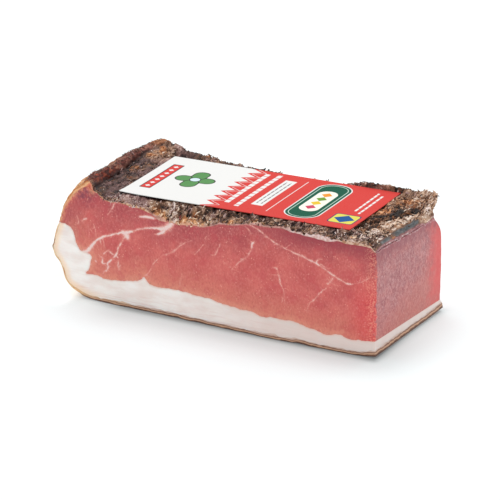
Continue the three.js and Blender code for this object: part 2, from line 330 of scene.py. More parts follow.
left_x = through(LEFT_SIDE)
front_z = through(FRONT_EDGE)
back_z = through(BACK_EDGE)
end_z = through(END_EDGE)
crest_x, crest_drop, foot_x, foot_z, side_shift = (
    through(LIP[:, [0, k]] * [1, MM]) for k in range(1, 6)
)
crease_x = through(CREASE)
pale_ridge_x = through(PALE_RIDGE)
fall_x = through(FALL)
rim_depth = through(RIM_DEPTH)


def fall_share(x, y):
    """0 where the crust starts to fall to the right end, and 1 at the end."""
    return (x - fall_x(y)) / (END_X - fall_x(y))


def back_y(x, z):
    """Where the back cut lies. Towards the right end it draws in under the crust, whose corner is
    round."""
    right = past(x, 130, 100)
    corner = past(x, 212, 22)
    foot = mix(RIND_DEPTH_RIGHT, DEPTH_RIGHT, past(z, 5, 4))
    reach = np.where(z > 74.5 * MM, 6.5, 9.5) * MM
    neck = 12 * MM * bump((z - 74.5 * MM) / reach) * corner
    ledge = 4 * MM * until(x, 234, 12) - 4.5 * MM * past(x, 227, 5)
    return mix(DEPTH, foot + ledge * past(z, 75, 3), right) - neck


def card_place(x, y):
    """A place on the block in the card's own directions, from its middle."""
    dx = x + BLOCK_X - CARD_MIDDLE.x
    dy = y + BLOCK_Y - CARD_MIDDLE.y
    u = dx * math.cos(CARD_YAW) + dy * math.sin(CARD_YAW)
    v = dy * math.cos(CARD_YAW) - dx * math.sin(CARD_YAW)
    return u, v


def under_card(x, y):
    """Height of the card's underside, and how far a place is inside its outline."""
    u, v = card_place(x, y)
    inside = np.minimum(CARD_LENGTH / 2 - np.abs(u), CARD_WIDTH / 2 - np.abs(v))
    return CARD_MIDDLE.z - CARD_THICKNESS / 2 + v * math.tan(CARD_ROLL), inside


def crust_height(x, y):
    """Height of the crust over the block, without its fine relief."""
    share = np.clip(y / (15 * MM), 0, 1)
    z = mix(front_z(x), CRUST_LEVEL, mix(smooth(share), 1 - (1 - share) ** 2, 0.6))
    z = z + 1.3 * MM * noise(x, y, 0, 13) * past(x, 12, 10)
    right = past(x, 175, 30) * past(y, 20, 30)
    z = z + right * 1.6 * MM * y / DEPTH
    middle = past(y, 30, 14) * until(y, 90, 12)
    z = z - 4.6 * MM * middle * bump((x - crease_x(y) + 1.4 * MM) / (3.2 * MM))
    z = z + 1.2 * MM * past(y, 8, 14) * bump((x - pale_ridge_x(y)) / (2.2 * MM))
    sheltered, inside = under_card(x, y)
    near_card = past(inside, -5, 4.5) * until(inside, 9, 5)
    near_card = near_card * until(y, 24, 6) * mix(0.9, 0.6, around(x, 78, 22))
    z = mix(z, np.maximum(z, sheltered - CARD_GAP), near_card)
    low = np.minimum(z, sheltered - CARD_GAP)
    z = np.where(inside > -0.4 * MM, low, mix(low, z, until(inside, -0.4, 2)))
    back = back_y(x, LIP_HEIGHT)
    start = np.clip(y + inside + 0.1 * MM, back - 10 * MM, back - 2.4 * MM)
    start = np.where(inside > -8 * MM, start, back - 10 * MM)
    rise = smooth((y - start) / np.clip(back - 2.2 * MM - start, 1.2 * MM, 8 * MM))
    z = mix(z, back_z(x), rise)
    ridge = fall_share(x, y)
    steep = mix(smooth(ridge), np.clip(ridge, 0, 1) ** 2, past(y, 76, 12))
    return mix(z, end_z(y), steep)


def lip_places(t):
    """The lip's crest as x and z, and its foot, at share t of the depth."""
    return crest_x(t), LIP_HEIGHT - crest_drop(t), foot_x(t), foot_z(t)


def left_side(z, t):
    """Points of the left side at the given heights, in the slice at share t of the depth."""
    return np.stack([left_x(z) + side_shift(t) * past(z, 45, 35), z], 1)


def skin_line(t):
    """The outer line of the slice at share t of the depth, from the fat's tip over the lip to
    the upper edge of the cut end."""
    z = np.linspace(FAT_TIP, 79 * MM, 12)
    side = left_side(z, t)
    crest, top, foot, foot_height = lip_places(t)
    lip = [
        [crest - 5.2 * MM, top - 3.6 * MM], [crest - 2.4 * MM, top - 1.1 * MM],
        [crest, top - 0.1 * MM], [mix(crest, foot, 0.42), top - 0.8 * MM],
        [mix(crest, foot, 0.74), mix(foot_height, top, 0.5)], [foot, foot_height],
    ]
    x = np.linspace(foot + 3 * MM, END_X, 200)
    height = crust_height(x, t * back_y(x, CRUST_LEVEL))
    height = crust_height(x, t * back_y(x, height))
    blend = smooth(1 - (x - foot) / mix(8 * MM, 15 * MM, smooth((t - 0.5) / 0.3)))
    top = np.stack([x, mix(height, foot_height, blend)], 1)
    return np.concatenate([along(np.concatenate([side, lip]), step=MM), top])


def core_line(t, count):
    """Where meat ends and crust begins: the skin line drawn in, without the lip."""
    skin = skin_line(t)
    crest, top, foot, foot_height = lip_places(t)
    x, z = skin.T
    inside = smooth(np.minimum(t, 1 - t) * DEPTH / (4 * MM))
    depth = mix(rim_depth(x), 1.5 * MM, inside) + 0.4 * MM * noise(x, t * DEPTH, z, 3.4)
    line = skin - np.maximum(depth, 0.7 * MM)[:, None] * normals_of(skin)
    side = line[(x < crest) & (z < 75.5 * MM)]
    base = foot_height - 2.2 * MM * inside
    high = min(base + 2 * MM, top - 2 * MM)
    lip = [
        [crest - 7 * MM, min(base - 1.6 * MM, high - 3.4 * MM)], [crest - 3.4 * MM, high - 1.4 * MM],
        [crest + 0.6 * MM, high], [crest + 2.2 * MM, min(base, high - 0.8 * MM)],
    ]
    return along(np.concatenate([side, lip, line[x > foot + 1.5 * MM]]), count=count)


def seam_line(t):
    """The border of fat and meat in the slice at share t of the depth."""
    line = along(SEAM, count=SEAM_POINTS)
    x, z = line.T
    inner = t * past(x, 20, 30)
    z = z + inner * (2 * MM * np.sin(x / (19 * MM)) - 0.011 * x)
    y = t * DEPTH
    rough = smooth(np.minimum(x + 12 * MM, END_X - x) / (4 * MM))
    offset = 0.45 * MM * noise(x, y, z, 2.6) + 0.3 * MM * noise(x, y, z, 1.3)
    return np.stack([x, z], 1) + (offset * rough)[:, None] * normals_of(line)


def slice_places(step):
    """Shares of the depth, with a few close slices at both cuts that round their edges."""
    edge = EDGE_SLICES / DEPTH
    count = int(round(1 / (step / DEPTH)))
    middle = np.linspace(edge[-1] + 0.8 * step / DEPTH, 1 - edge[-1] - 0.8 * step / DEPTH, count)
    return np.concatenate([edge, middle, 1 - edge[::-1]])


def edge_rounding(t, radius):
    """How far the outline draws in at share t, near both cuts."""
    away = np.minimum(t, 1 - t) * DEPTH
    near = np.clip(1 - away / radius, 0, 1)
    return radius * (1 - np.sqrt(1 - near * near))


def cut_relief(x, z):
    """How far the surface of a cut lies behind its plane."""
    waves = noise(x, 0, z, 24) + 0.5 * noise(x, 3, 1.5 * z, 9)
    return (0.3 + 0.18 * waves) * MM


def foot_bulge(x, z):
    """How far the foot of the front cut stands out."""
    return 2.4 * MM * around(x, 150, 70) * until(z, 13, 12)


def place_in_depth(x, z, t):
    """The y of a point of a slice, with both cuts in relief."""
    depth = back_y(x, z)
    relief = cut_relief(x, z)
    return mix(relief - foot_bulge(x, z), depth - relief, t)


def is_inside(points, outline):
    """Which points lie inside a closed outline."""
    x, z = points.T
    inside = np.zeros(len(points), bool)
    for (x0, z0), (x1, z1) in zip(outline, np.roll(outline, -1, axis=0)):
        if z0 == z1:
            continue
        crosses = (z0 > z) != (z1 > z)
        inside ^= crosses & (x < (x1 - x0) * (z - z0) / (z1 - z0) + x0)
    return inside


def distance_to(points, line):
    """Distance of each point to a line of short steps, and the nearest point's number."""
    best = np.full(len(points), np.inf)
    nearest = np.zeros(len(points), int)
    for start in range(0, len(line), 64):
        part = line[start:start + 64, :2]
        gaps = np.hypot(*(points[:, None] - part[None]).transpose(2, 0, 1))
        index = gaps.argmin(1)
        gap = gaps[np.arange(len(points)), index]
        closer = gap < best
        best[closer] = gap[closer]
        nearest[closer] = index[closer] + start
    return best, nearest


def hexagonal(outline, step):
    """Even points inside an outline, clear of its edge."""
    low, high = outline.min(0), outline.max(0)
    rows = np.arange(low[1], high[1], step * 0.87)
    columns = np.arange(low[0], high[0], step)
    x, z = np.meshgrid(columns, rows)
    x = x + 0.5 * step * (np.arange(len(rows)) % 2)[:, None]
    points = np.stack([x.ravel(), z.ravel()], 1)
    points = points[is_inside(points, outline)]
    return points[distance_to(points, outline)[0] > 0.55 * step]


def fill(outline, inside):
    """Triangles over a flat outline and points inside it, as numbers into both in that order."""
    everything = np.concatenate([outline, inside])
    size = len(outline)
    edges = [(i, (i + 1) % size) for i in range(size)]
    flat = [Vector(point) for point in (everything / MM).tolist()]
    found = geometry.delaunay_2d_cdt(flat, edges, [], 1, 1e-6)
    origin = [olds[0] if olds else -1 for olds in found[3]]
    faces = [tuple(origin[corner] for corner in face) for face in found[2]]
    return [face for face in faces if -1 not in face]


def new_object(name, vertices, faces):
    """A mesh object whose points are given in the block's own places."""
    mesh = bpy.data.meshes.new(name)
    offset = np.array([BLOCK_X, BLOCK_Y, 0])
    mesh.from_pydata((np.asarray(vertices) + offset).tolist(), [], faces)
    made = bpy.data.objects.new(name, mesh)
    bpy.context.collection.objects.link(made)
    select_only(made)
    bpy.ops.object.mode_set(mode="EDIT")
    bpy.ops.mesh.select_all(action="SELECT")
    bpy.ops.mesh.normals_make_consistent(inside=False)
    bpy.ops.object.mode_set(mode="OBJECT")
    if volume_of(mesh) < 0:
        bpy.ops.object.mode_set(mode="EDIT")
        bpy.ops.mesh.flip_normals()
        bpy.ops.object.mode_set(mode="OBJECT")
    return made


def volume_of(mesh):
    """Volume of a closed mesh, negative where its faces point in."""
    points = np.empty(3 * len(mesh.vertices))
    mesh.vertices.foreach_get("co", points)
    mesh.calc_loop_triangles()
    corners = np.empty(3 * len(mesh.loop_triangles), int)
    mesh.loop_triangles.foreach_get("vertices", corners)
    a, b, c = points.reshape(-1, 3)[corners.reshape(-1, 3)].transpose(1, 0, 2)
    return (a * np.cross(b, c)).sum() / 6


def select_only(made):
    """Makes an object the one that operators act on."""
    bpy.ops.object.select_all(action="DESELECT")
    made.select_set(True)
    bpy.context.view_layer.objects.active = made


def set_attributes(made, marks):
    """Gives each point of a piece the values that its finish reads."""
    for name, values in marks.items():
        attribute = made.data.attributes.new(name, "FLOAT", "POINT")
        attribute.data.foreach_set("value", np.asarray(values, np.float32))


def loft(name, ring_at, places, step, extra=None, depth_at=place_in_depth):
    """A closed piece through the rings at the given shares of the depth. Its two cuts are filled
    over even points at the given step, and over extra points of their own. Columns of a ring
    after x and z are carried to the points of the piece, which are returned with them. Points
    inside the cuts carry -1."""
    rings = np.stack([ring_at(t) for t in places])
    slices, size = rings.shape[:2]
    y = np.stack([depth_at(ring[:, 0], ring[:, 1], t) for ring, t in zip(rings, places)])
    vertices = [np.stack([rings[..., 0], y, rings[..., 1]], -1).reshape(-1, 3)]
    faces = []
    first = np.arange(size)
    after = (first + 1) % size
    for k in range(slices - 1):
        corners = (k * size + first, k * size + after, (k + 1) * size + after, (k + 1) * size + first)
        faces.extend(zip(*(corner.tolist() for corner in corners)))
    count = slices * size
    for k, t in ((0, 0.0), (slices - 1, 1.0)):
        outline = rings[k, :, :2]
        inside = hexagonal(outline, step)
        if extra is not None:
            inside = merge_points(inside, extra(t), outline, step)
        for face in fill(outline, inside):
            faces.append(tuple(c + k * size if c < size else c - size + count for c in face))
        x, z = inside.T
        vertices.append(np.stack([x, depth_at(x, z, t), z], 1))
        count += len(inside)
    vertices = np.concatenate(vertices)
    carried = np.full((len(vertices), rings.shape[2] - 2), -1.0)
    carried[:slices * size] = rings[..., 2:].reshape(slices * size, -1)
    return new_object(name, vertices, faces), vertices, carried


def merge_points(even, extra, outline, step):
    """Extra points inside the outline, and the even ones that aren't close to them."""
    cell = 0.22 * MM
    extra = extra[np.unique(np.round(extra / cell).astype(int), axis=0, return_index=True)[1]]
    extra = extra[is_inside(extra, outline)]
    extra = extra[distance_to(extra, outline)[0] > 0.3 * MM]
    return np.concatenate([even[distance_to(even, extra)[0] > 0.6 * step], extra])


def all_veins(t):
    """The veins of a cut, with finer twigs that leave them. The back cut has its own."""
    random = np.random.default_rng(SEED + int(t))
    veins = [along(vein, step=VEIN_STEP) for vein in VEINS]
    if t == 1:
        veins = [vein * [-0.94, 0.9, 1] + [236 * MM, 7 * MM, 0] for vein in veins]
    twigs = []
    for vein in veins:
        for _ in range(int(len(vein) / 9)):
            start = vein[random.integers(len(vein))]
            heading = random.uniform(0, 2 * math.pi)
            steps = random.integers(3, 9)
            turns = heading + np.cumsum(random.normal(0, 0.25, steps))
            path = np.cumsum(VEIN_STEP * np.stack([np.cos(turns), np.sin(turns)], 1), axis=0)
            width = np.linspace(0.5, 0.2, steps)[:, None] * MM
            twigs.append(np.concatenate([start[:2] + path, width], 1))
    wobbled = []
    for vein in veins + twigs:
        x, z, width = vein.T
        sway = 0.35 * MM * noise(x, t, z, 2.2)
        wide = width * (1 + 0.3 * noise(x, 5 + t, z, 2.6))
        shifted = vein[:, :2] + sway[:, None] * normals_of(vein[:, :2])
        wobbled.append(np.concatenate([shifted, wide[:, None]], 1))
    return wobbled


def vein_points(t):
    """Points along the veins and beside them, so that they are drawn well."""
    points = []
    for vein in all_veins(t):
        line, width = vein[:, :2], vein[:, 2:]
        normal = normals_of(line)
        for side in (-1.8, -0.9, 0, 0.9, 1.8):
            points.append(line + side * width * normal)
    return np.concatenate(points)


def marbling_at(points, t):
    """Up to 1 along the middle of a vein, half of that at its edge and 0 outside its halo. Thin
    veins are faint and uneven."""
    value = np.zeros(len(points))
    for vein in all_veins(t):
        low = vein[:, :2].min(0) - 4 * MM
        high = vein[:, :2].max(0) + 4 * MM
        near = np.flatnonzero(((points > low) & (points < high)).all(1))
        if len(near) == 0:
            continue
        gap, index = distance_to(points[near], vein)
        width = vein[index, 2]
        strength = mix(0.5, 1, smooth((width / MM - 0.3) / 1.3))
        x, z = points[near].T
        gaps = smooth((noise(x, 9, z, 3) + 0.05) / 0.5) * until(width, 1.6, 0.7)
        strength = strength * (1 - 0.4 * gaps)
        halo = width * mix(1.8, 1.1, smooth((width / MM - 0.7) / 0.9))
        value[near] = np.maximum(value[near], strength * np.clip(1 - gap / halo, 0, 1))
    return value


def round_corner(line, t):
    """Draws an outer line in near the cuts, so that their edges are round."""
    return line - edge_rounding(t, CUT_ROUNDING) * normals_of(line)


def meat_ring(t):
    """Border of the fat, cut end, and back under the crust and down the left side."""
    seam = seam_line(t)
    core = round_corner(core_line(t, CORE_POINTS), t)
    core[0] = seam[0] + [0.2 * MM, 0.8 * MM]
    top = core[-1, 1]
    rise = np.linspace(seam[-1, 1], top, END_POINTS)[1:-1]
    bulge = 0.5 * MM * np.sin(np.pi * (rise - seam[-1, 1]) / (top - seam[-1, 1]))
    draw = edge_rounding(t, END_ROUNDING)
    y = t * back_y(END_X, rise)
    grain = 0.12 * MM * noise(0, y, rise, 3)
    end = np.stack([END_X - END_INSET + bulge + grain - draw, rise], 1)
    seam[-1, 0] = core[-1, 0] = END_X - END_INSET - draw
    return np.concatenate([seam, end, core[::-1]])


def outer_line(t):
    """The underside of the block and its left side up to the fat's tip, from right to left."""
    z = FAT_TIP * np.linspace(0.02, 0.985, 40) ** 1.4
    side = left_side(z, t)
    lift = 0.48 * MM * smooth((t - 0.75) / 0.25)
    foot = [
        [END_X + 0.2 * MM, 1.7 * MM], [END_X - 3 * MM, 1.2 * MM], [END_X - 8 * MM, 0.6 * MM],
        [END_X - 14 * MM, 0.2 * MM], [END_X - 20 * MM, 0],
    ]
    x = np.linspace(END_X - 25 * MM, 30 * MM, 120)
    waves = np.maximum(noise(x, t * DEPTH, 0, 8), 0)
    waves = waves + 0.8 * np.maximum(noise(x, t * DEPTH, 4, 4), 0)
    waves = waves * smooth((END_X - 25 * MM - x) / (20 * MM))
    flat = np.stack([x, 0.6 * MM * waves * past(x, 30, 20)], 1)
    line = np.concatenate([foot, flat, side])
    line[:, 1] += lift * smooth((line[:, 0] - END_X + 25 * MM) / (25 * MM))
    return along(line, count=OUTLINE_POINTS)


def fat_line(t):
    """The inner face of the rind."""
    line = outer_line(t)
    x, z = line.T
    uneven = 0.25 * noise(x, t * DEPTH, z, 7) + 0.2 * noise(x, t * DEPTH, z, 3)
    thick = RIND_THICKNESS * (1 + uneven + 0.4 * smooth((x - END_X + 11 * MM) / (10 * MM)))
    thin = mix(0.4, 1, until(z, 10, 10))
    return line - (thick * thin)[:, None] * normals_of(line)


def fat_ring(t):
    """Border of the meat, and back along the rind."""
    seam = seam_line(t)
    inner = fat_line(t)
    draw = edge_rounding(t, CUT_ROUNDING)
    seam[-1, 0] = END_X - END_INSET - draw
    inner[0, 0] = END_X - 0.5 * MM - draw
    inner[-1] = seam[0] + [0.1 * MM, -0.9 * MM]
    middle = (seam[-1] + inner[0]) / 2 + [0.3 * MM, 0]
    return np.concatenate([seam, [middle], inner])


def rind_ring(t):
    """The rind's outside, and back along its inner face."""
    outer = outer_line(t)
    inner = fat_line(t)
    return np.concatenate([round_corner(outer, t), inner[::-1]])


def finish_piece(made, node_names, material):
    """Gives a piece its material and says which nodes it stands for."""
    made.data.materials.append(material)
    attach(made, "root")
    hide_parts(*node_names)
    return made


def rough_share(x, y):
    """1 where the crust is crumbly, and 0 where it is smoother: at the card's left and front left."""
    front = past(x, 58, 8)
    behind = past(x, 34, 30)
    return mix(front, behind, past(y, 9, 8))


def crust_relief(x, y, z, leather):
    """Fine height of the crust over its skin line: lumps, strands along the depth and pits. Where
    it is leather, as on the lip, it has ribs and long low folds instead."""
    bent = x + 1.6 * MM * noise(x, y, z, 9)
    lumps = 0.8 * noise(bent, 0.7 * y, z, 6) + 0.5 * noise(bent, 0.8 * y, z, 2.8)
    strands = 1 - 2 * np.abs(noise(bent, 0.35 * y, z, 2.7))
    threads = 1 - 2 * np.abs(noise(bent, 0.4 * y, z, 1.5))
    pits = -1.6 * smooth((noise(bent + 1, 0.6 * y, z, 3) - 0.3) / 0.3)
    rough = lumps + 0.4 * strands + 0.3 * threads + 0.2 * noise(x, y, z, 1.2) + pits
    rough = rough * mix(0.6, 1.15, rough_share(x, y))
    ribs = 0.5 * noise(0.3 * x, y, 0.3 * z, 4.4)
    folds = ribs + 0.5 * noise(0.7 * x, 0.35 * y, 0.7 * z, 5) + 0.3 * noise(x, 0.5 * y, z, 2.2)
    height = mix(rough, folds + 0.15 * noise(x, y, z, 1.2), leather)
    calm = smooth((0.25 - fall_share(x, y)) / 0.3)
    return MM * np.clip(mix(0.2 * height, height, calm), -0.9, 1.8)


def on_lip(x, t):
    """1 on the lip and the left side, 0 on the flat of the crust."""
    return smooth((foot_x(t) + 0.5 * MM - x) / (1.5 * MM))


def crust_ring(t):
    """The crust's rough outside, and an inside that is sunk in the meat."""
    skin = along(skin_line(t), count=CRUST_POINTS)
    x, z = skin.T
    y = t * DEPTH
    leather = on_lip(x, t)
    relief = crust_relief(x, y, z, 0.85 * leather)
    draw = edge_rounding(t, CRUST_ROUNDING)
    outer = skin + (relief - draw)[:, None] * normals_of(skin)
    sheltered, inside = under_card(outer[:, 0], y)
    low = np.minimum(outer[:, 1], sheltered - 0.25 * MM)
    outer[:, 1] = np.where(inside > -0.7 * MM, low, outer[:, 1])
    outer[:, 1] = np.minimum(outer[:, 1], MEAT_TOP - 0.3 * MM)
    outer[-3:, 0] = END_X - 0.5 * MM - draw
    outer[-3:, 1] = outer[-3, 1] - MM * np.array([0, 0.5, 1])
    inner = core_line(t, CRUST_BACKING)
    inner -= 0.7 * MM * normals_of(inner)
    inner[-1] = [END_X - 1.6 * MM, outer[-1, 1] - 0.6 * MM]
    inner[0] = [outer[0, 0] + 1.5 * MM, outer[0, 1] + 0.5 * MM]
    ring = np.concatenate([outer, inner[::-1]])
    carried = np.concatenate([relief / MM, np.full(CRUST_BACKING, -1)])
    at_cut = np.full(len(ring), smooth(1 - min(t, 1 - t) * DEPTH / (0.5 * MM)))
    return np.concatenate([ring, carried[:, None], at_cut[:, None]], 1)


def crust_depth(x, z, t):
    """The crust's ends are ragged and lie just behind the cuts."""
    lumpy = mix(0.3, 1.1, past(z, 78, 3) * until(x, 20, 4))
    ragged = (0.2 + lumpy * np.abs(noise(x, 7 + t, z, 1.8))) * MM
    return mix(cut_relief(x, z) + ragged, back_y(x, z) - cut_relief(x, z) - ragged, t)


def crust_slices():
    """Slices close together over the strip in front of the card, and wider behind."""
    strip = np.arange(1.45, 14, 0.5) * MM
    middle = np.arange(14, 100.4, CRUST_STEP / MM) * MM
    return np.concatenate([EDGE_SLICES, strip, middle, DEPTH - EDGE_SLICES[::-1]]) / DEPTH


# Where the crust is paler or darker, as x, y, how far that reaches along both, and by how much
PALE_PLACES = (
    (80, 1, 8, 6, 0.16), (100, 1, 12, 6, 0.24), (24, 96, 8, 8, 0.12), (70, 8, 8, 5, 0.12),
    (212, 84, 6, 7, 0.12), (57, 2, 6, 4, -0.06), (135, 1, 9, 4, 0.16),
    (153, 1, 8, 4, -0.12), (211, 3, 5, 5, 0.16), (220, 48, 6, 6, -0.12), (222, 66, 5, 5, 0.1),
    (226, 76, 4, 5, 0.1), (204, 80, 7, 6, -0.1), (216, 88, 5, 6, 0.16), (219, 99, 6, 4, 0.12),
    (202, 100, 6, 5, -0.1),
)
# Orange-brown patches of the crust, as x, y and reach
WARM_PLACES = MM * np.array([
    [63, 1, 4.5], [60, 4, 3.5], [20, 40, 4], [13.5, 55, 4.5], [15, 60, 4], [19, 66, 4], [14, 28, 3],
    [12, 84, 5], [16, 92, 5], [28, 33, 3], [16, 8, 3],
    [70, 2, 3], [84, 1, 4], [93, 1, 5], [101, 0, 4], [120, 1, 3], [141, 1, 3], [206, 62, 6],
    [209, 8, 3], [48, 100, 8], [216, 52, 4], [212, 82, 6],
])


def warmth(x, y):
    """Up to 1 in the orange-brown patches."""
    patches = [bump(np.hypot(x - px, y - py) / reach) for px, py, reach in WARM_PLACES]
    return np.clip(np.max(patches, axis=0) * (0.8 + 0.9 * noise(x, y, 3 * MM, 2.4)), 0, 1)


def crust_look(x, y, z):
    """How pale the crust is, from 0 for black to 1 for cream, and its hue: 0 for purple-brown, 0.5
    for tan and 1 for orange."""
    rough = rough_share(x, y)
    clumps = 0.6 * noise(x, 0.6 * y, z, 8) + 0.6 * noise(x, 0.5 * y, z, 3.4)
    pale = mix(0.36, 0.4, rough) + mix(0.2, 0.3, rough) * clumps
    front = until(y, 9, 4)
    pale += 0.34 * front * (1 - rough) * past(x, 21, 13)
    behind = until(x, 30, 8) * past(y, 66, 16)
    pale += 0.16 * behind
    right = past(x, 186, 16)
    pale += 0.03 * right
    ridge = 0.24 + 0.14 * until(y, 50, 10)
    pale += ridge * bump((x - pale_ridge_x(y)) / (2.6 * MM)) * until(y, 84, 6)
    pale += 0.12 * past(x, 222, 5) * past(y, 64, 10)
    fall = fall_share(x, y)
    above_strip = past(y, 14, 6) * until(y, 76, 8)
    pale += 0.26 * above_strip * bump((fall - 0.14) / 0.12)
    # Painted shade in the deep groove at the right end
    crease_shade = past(y, 36, 6) * until(y, 84, 8)
    pale -= 0.95 * crease_shade * bump((x - crease_x(y) + 1.2 * MM) / (3.2 * MM))
    # Painted shadow of the card, in a band left of that groove
    card_shadow_band = past(y, 40, 8) * until(y, 74, 8)
    pale -= 0.6 * card_shadow_band * bump((x - crease_x(y) + 9.6 * MM) / (2.7 * MM))
    for place_x, place_y, wide, deep, lift in PALE_PLACES:
        pale += lift * around(x, place_x, wide) * around(y, place_y, deep)
    chunky = around(x, 213, 11) * around(y, 22, 12)
    pale += chunky * 0.5 * noise(x, y, z, 3.2)
    hue = 0.06 + 0.26 * rough + 0.28 * right * past(y, 18, 12) + 0.2 * behind
    hue += 0.22 * mix(0.5, 1, rough) * noise(x + 5 * MM, y, z, 4.5) + 0.8 * warmth(x, y)
    return pale, hue


def faces_of(made):
    """Middles, normals and areas of a piece's faces, on the block."""
    polygons = made.data.polygons
    middles = np.empty(3 * len(polygons))
    normals = np.empty(3 * len(polygons))
    areas = np.empty(len(polygons))
    polygons.foreach_get("center", middles)
    polygons.foreach_get("normal", normals)
    polygons.foreach_get("area", areas)
    return middles.reshape(-1, 3) - [BLOCK_X, BLOCK_Y, 0], normals.reshape(-1, 3), areas


def base_shape(made):
    """Points and faces of a small shape, which is then removed."""
    points = np.array([vertex.co for vertex in made.data.vertices])
    faces = [tuple(face.vertices) for face in made.data.polygons]
    bpy.data.objects.remove(made)
    return points, faces


def crumb_shape(random):
    """An angular crumb of 20 faces, about 1 across."""
    bpy.ops.object.select_all(action="DESELECT")
    bpy.ops.mesh.primitive_ico_sphere_add(subdivisions=1, radius=0.5)
    points, faces = base_shape(bpy.context.object)
    return points * random.uniform(0.7, 1.25, (len(points), 1)), faces


def rod_shape(sides, cuts):
    """A rod of 1 along its x, 1 thick, with rings of points at the cuts."""
    bpy.ops.object.select_all(action="DESELECT")
    bpy.ops.mesh.primitive_cylinder_add(vertices=sides, radius=0.5, depth=1, rotation=(0, math.pi / 2, 0))
    bpy.ops.object.transform_apply(rotation=True)
    bpy.ops.object.mode_set(mode="EDIT")
    for cut in cuts:
        bpy.ops.mesh.select_all(action="SELECT")
        bpy.ops.mesh.bisect(plane_co=(cut, 0, 0), plane_no=(1, 0, 0))
    bpy.ops.object.mode_set(mode="OBJECT")
    return base_shape(bpy.context.object)


def shred_shape(random):
    """A ragged dry shred of 1 along its x."""
    points, faces = rod_shape(4, (-0.2, 0.16))
    places = np.round(points[:, 0], 1)
    for place in np.unique(places):
        ring = places == place
        points[ring, 1:] *= random.uniform(0.3, 0.7) if abs(place) > 0.4 else random.uniform(0.8, 1.3)
        points[ring, 1:] += random.uniform(-0.5, 0.5, 2)
    points[:, 0] += random.uniform(-0.1, 0.1, len(points))
    return points, faces


def needle_shape(bend):
    """A thin needle of 1 along its x, a little bent and with blunt ends."""
    points, faces = rod_shape(5, (-0.3, 0, 0.3))
    points[:, 1:] *= 1 - 1.9 * points[:, :1] ** 2
    points[:, 1] += bend * (1 - 4 * points[:, 0] ** 2)
    return points, faces


def scatter(name, shapes, middles, normals, sizes, looks, random, lean, stray):
    """Copies of small shapes joined in one mesh. Each lies along its face and the depth, tilted
    and straying at random, with its own size along, across and out, and its own tone and hue."""
    tilt = normals + lean * random.normal(size=normals.shape)
    out = tilt / np.linalg.norm(tilt, axis=1)[:, None]
    side = np.array([0, 1, 0]) + stray * random.normal(size=normals.shape)
    side -= (side * out).sum(1)[:, None] * out
    side /= np.linalg.norm(side, axis=1)[:, None]
    front = np.cross(out, side)
    vertices, faces, shades = [], [], []
    count = 0
    kind = random.integers(len(shapes), size=len(middles))
    for number, (points, corners) in enumerate(shapes):
        chosen = np.flatnonzero(kind == number)
        local = points[None] * sizes[chosen][:, None]
        placed = middles[chosen][:, None] + sum(
            local[..., axis:axis + 1] * direction[chosen][:, None]
            for axis, direction in enumerate((side, front, out))
        )
        room = ((0, -LEFT_REACH, END_X), (1, 0.2 * MM, DEPTH - 0.2 * MM), (2, 0, MEAT_TOP - 0.2 * MM))
        for axis, low, high in room:
            under = np.maximum(low - placed[..., axis].min(1), 0)
            over = np.maximum(placed[..., axis].max(1) - high, 0)
            placed[..., axis] += (under - over)[:, None]
        vertices.append(placed.reshape(-1, 3))
        shades.append(np.repeat(looks[chosen], len(points), axis=0))
        for copy in range(len(chosen)):
            start = count + copy * len(points)
            faces.extend(tuple(corner + start for corner in face) for face in corners)
        count += len(chosen) * len(points)
    made = new_object(name, np.concatenate(vertices), faces)
    tone, hue = np.concatenate(shades).T
    set_attributes(made, {"tone": tone, "hue": hue})
    return made


def pick(random, areas, density, count):
    """Numbers of faces drawn by area and density."""
    weight = areas * density
    return random.choice(len(areas), size=count, p=weight / weight.sum())


def clear_of_card(middles, height):
    """Which places leave room for something this high above them under the card."""
    sheltered, inside = under_card(middles[:, 0], middles[:, 1])
    return (inside < 0.5 * MM) & ((inside < -height) | (middles[:, 2] + height < sheltered))


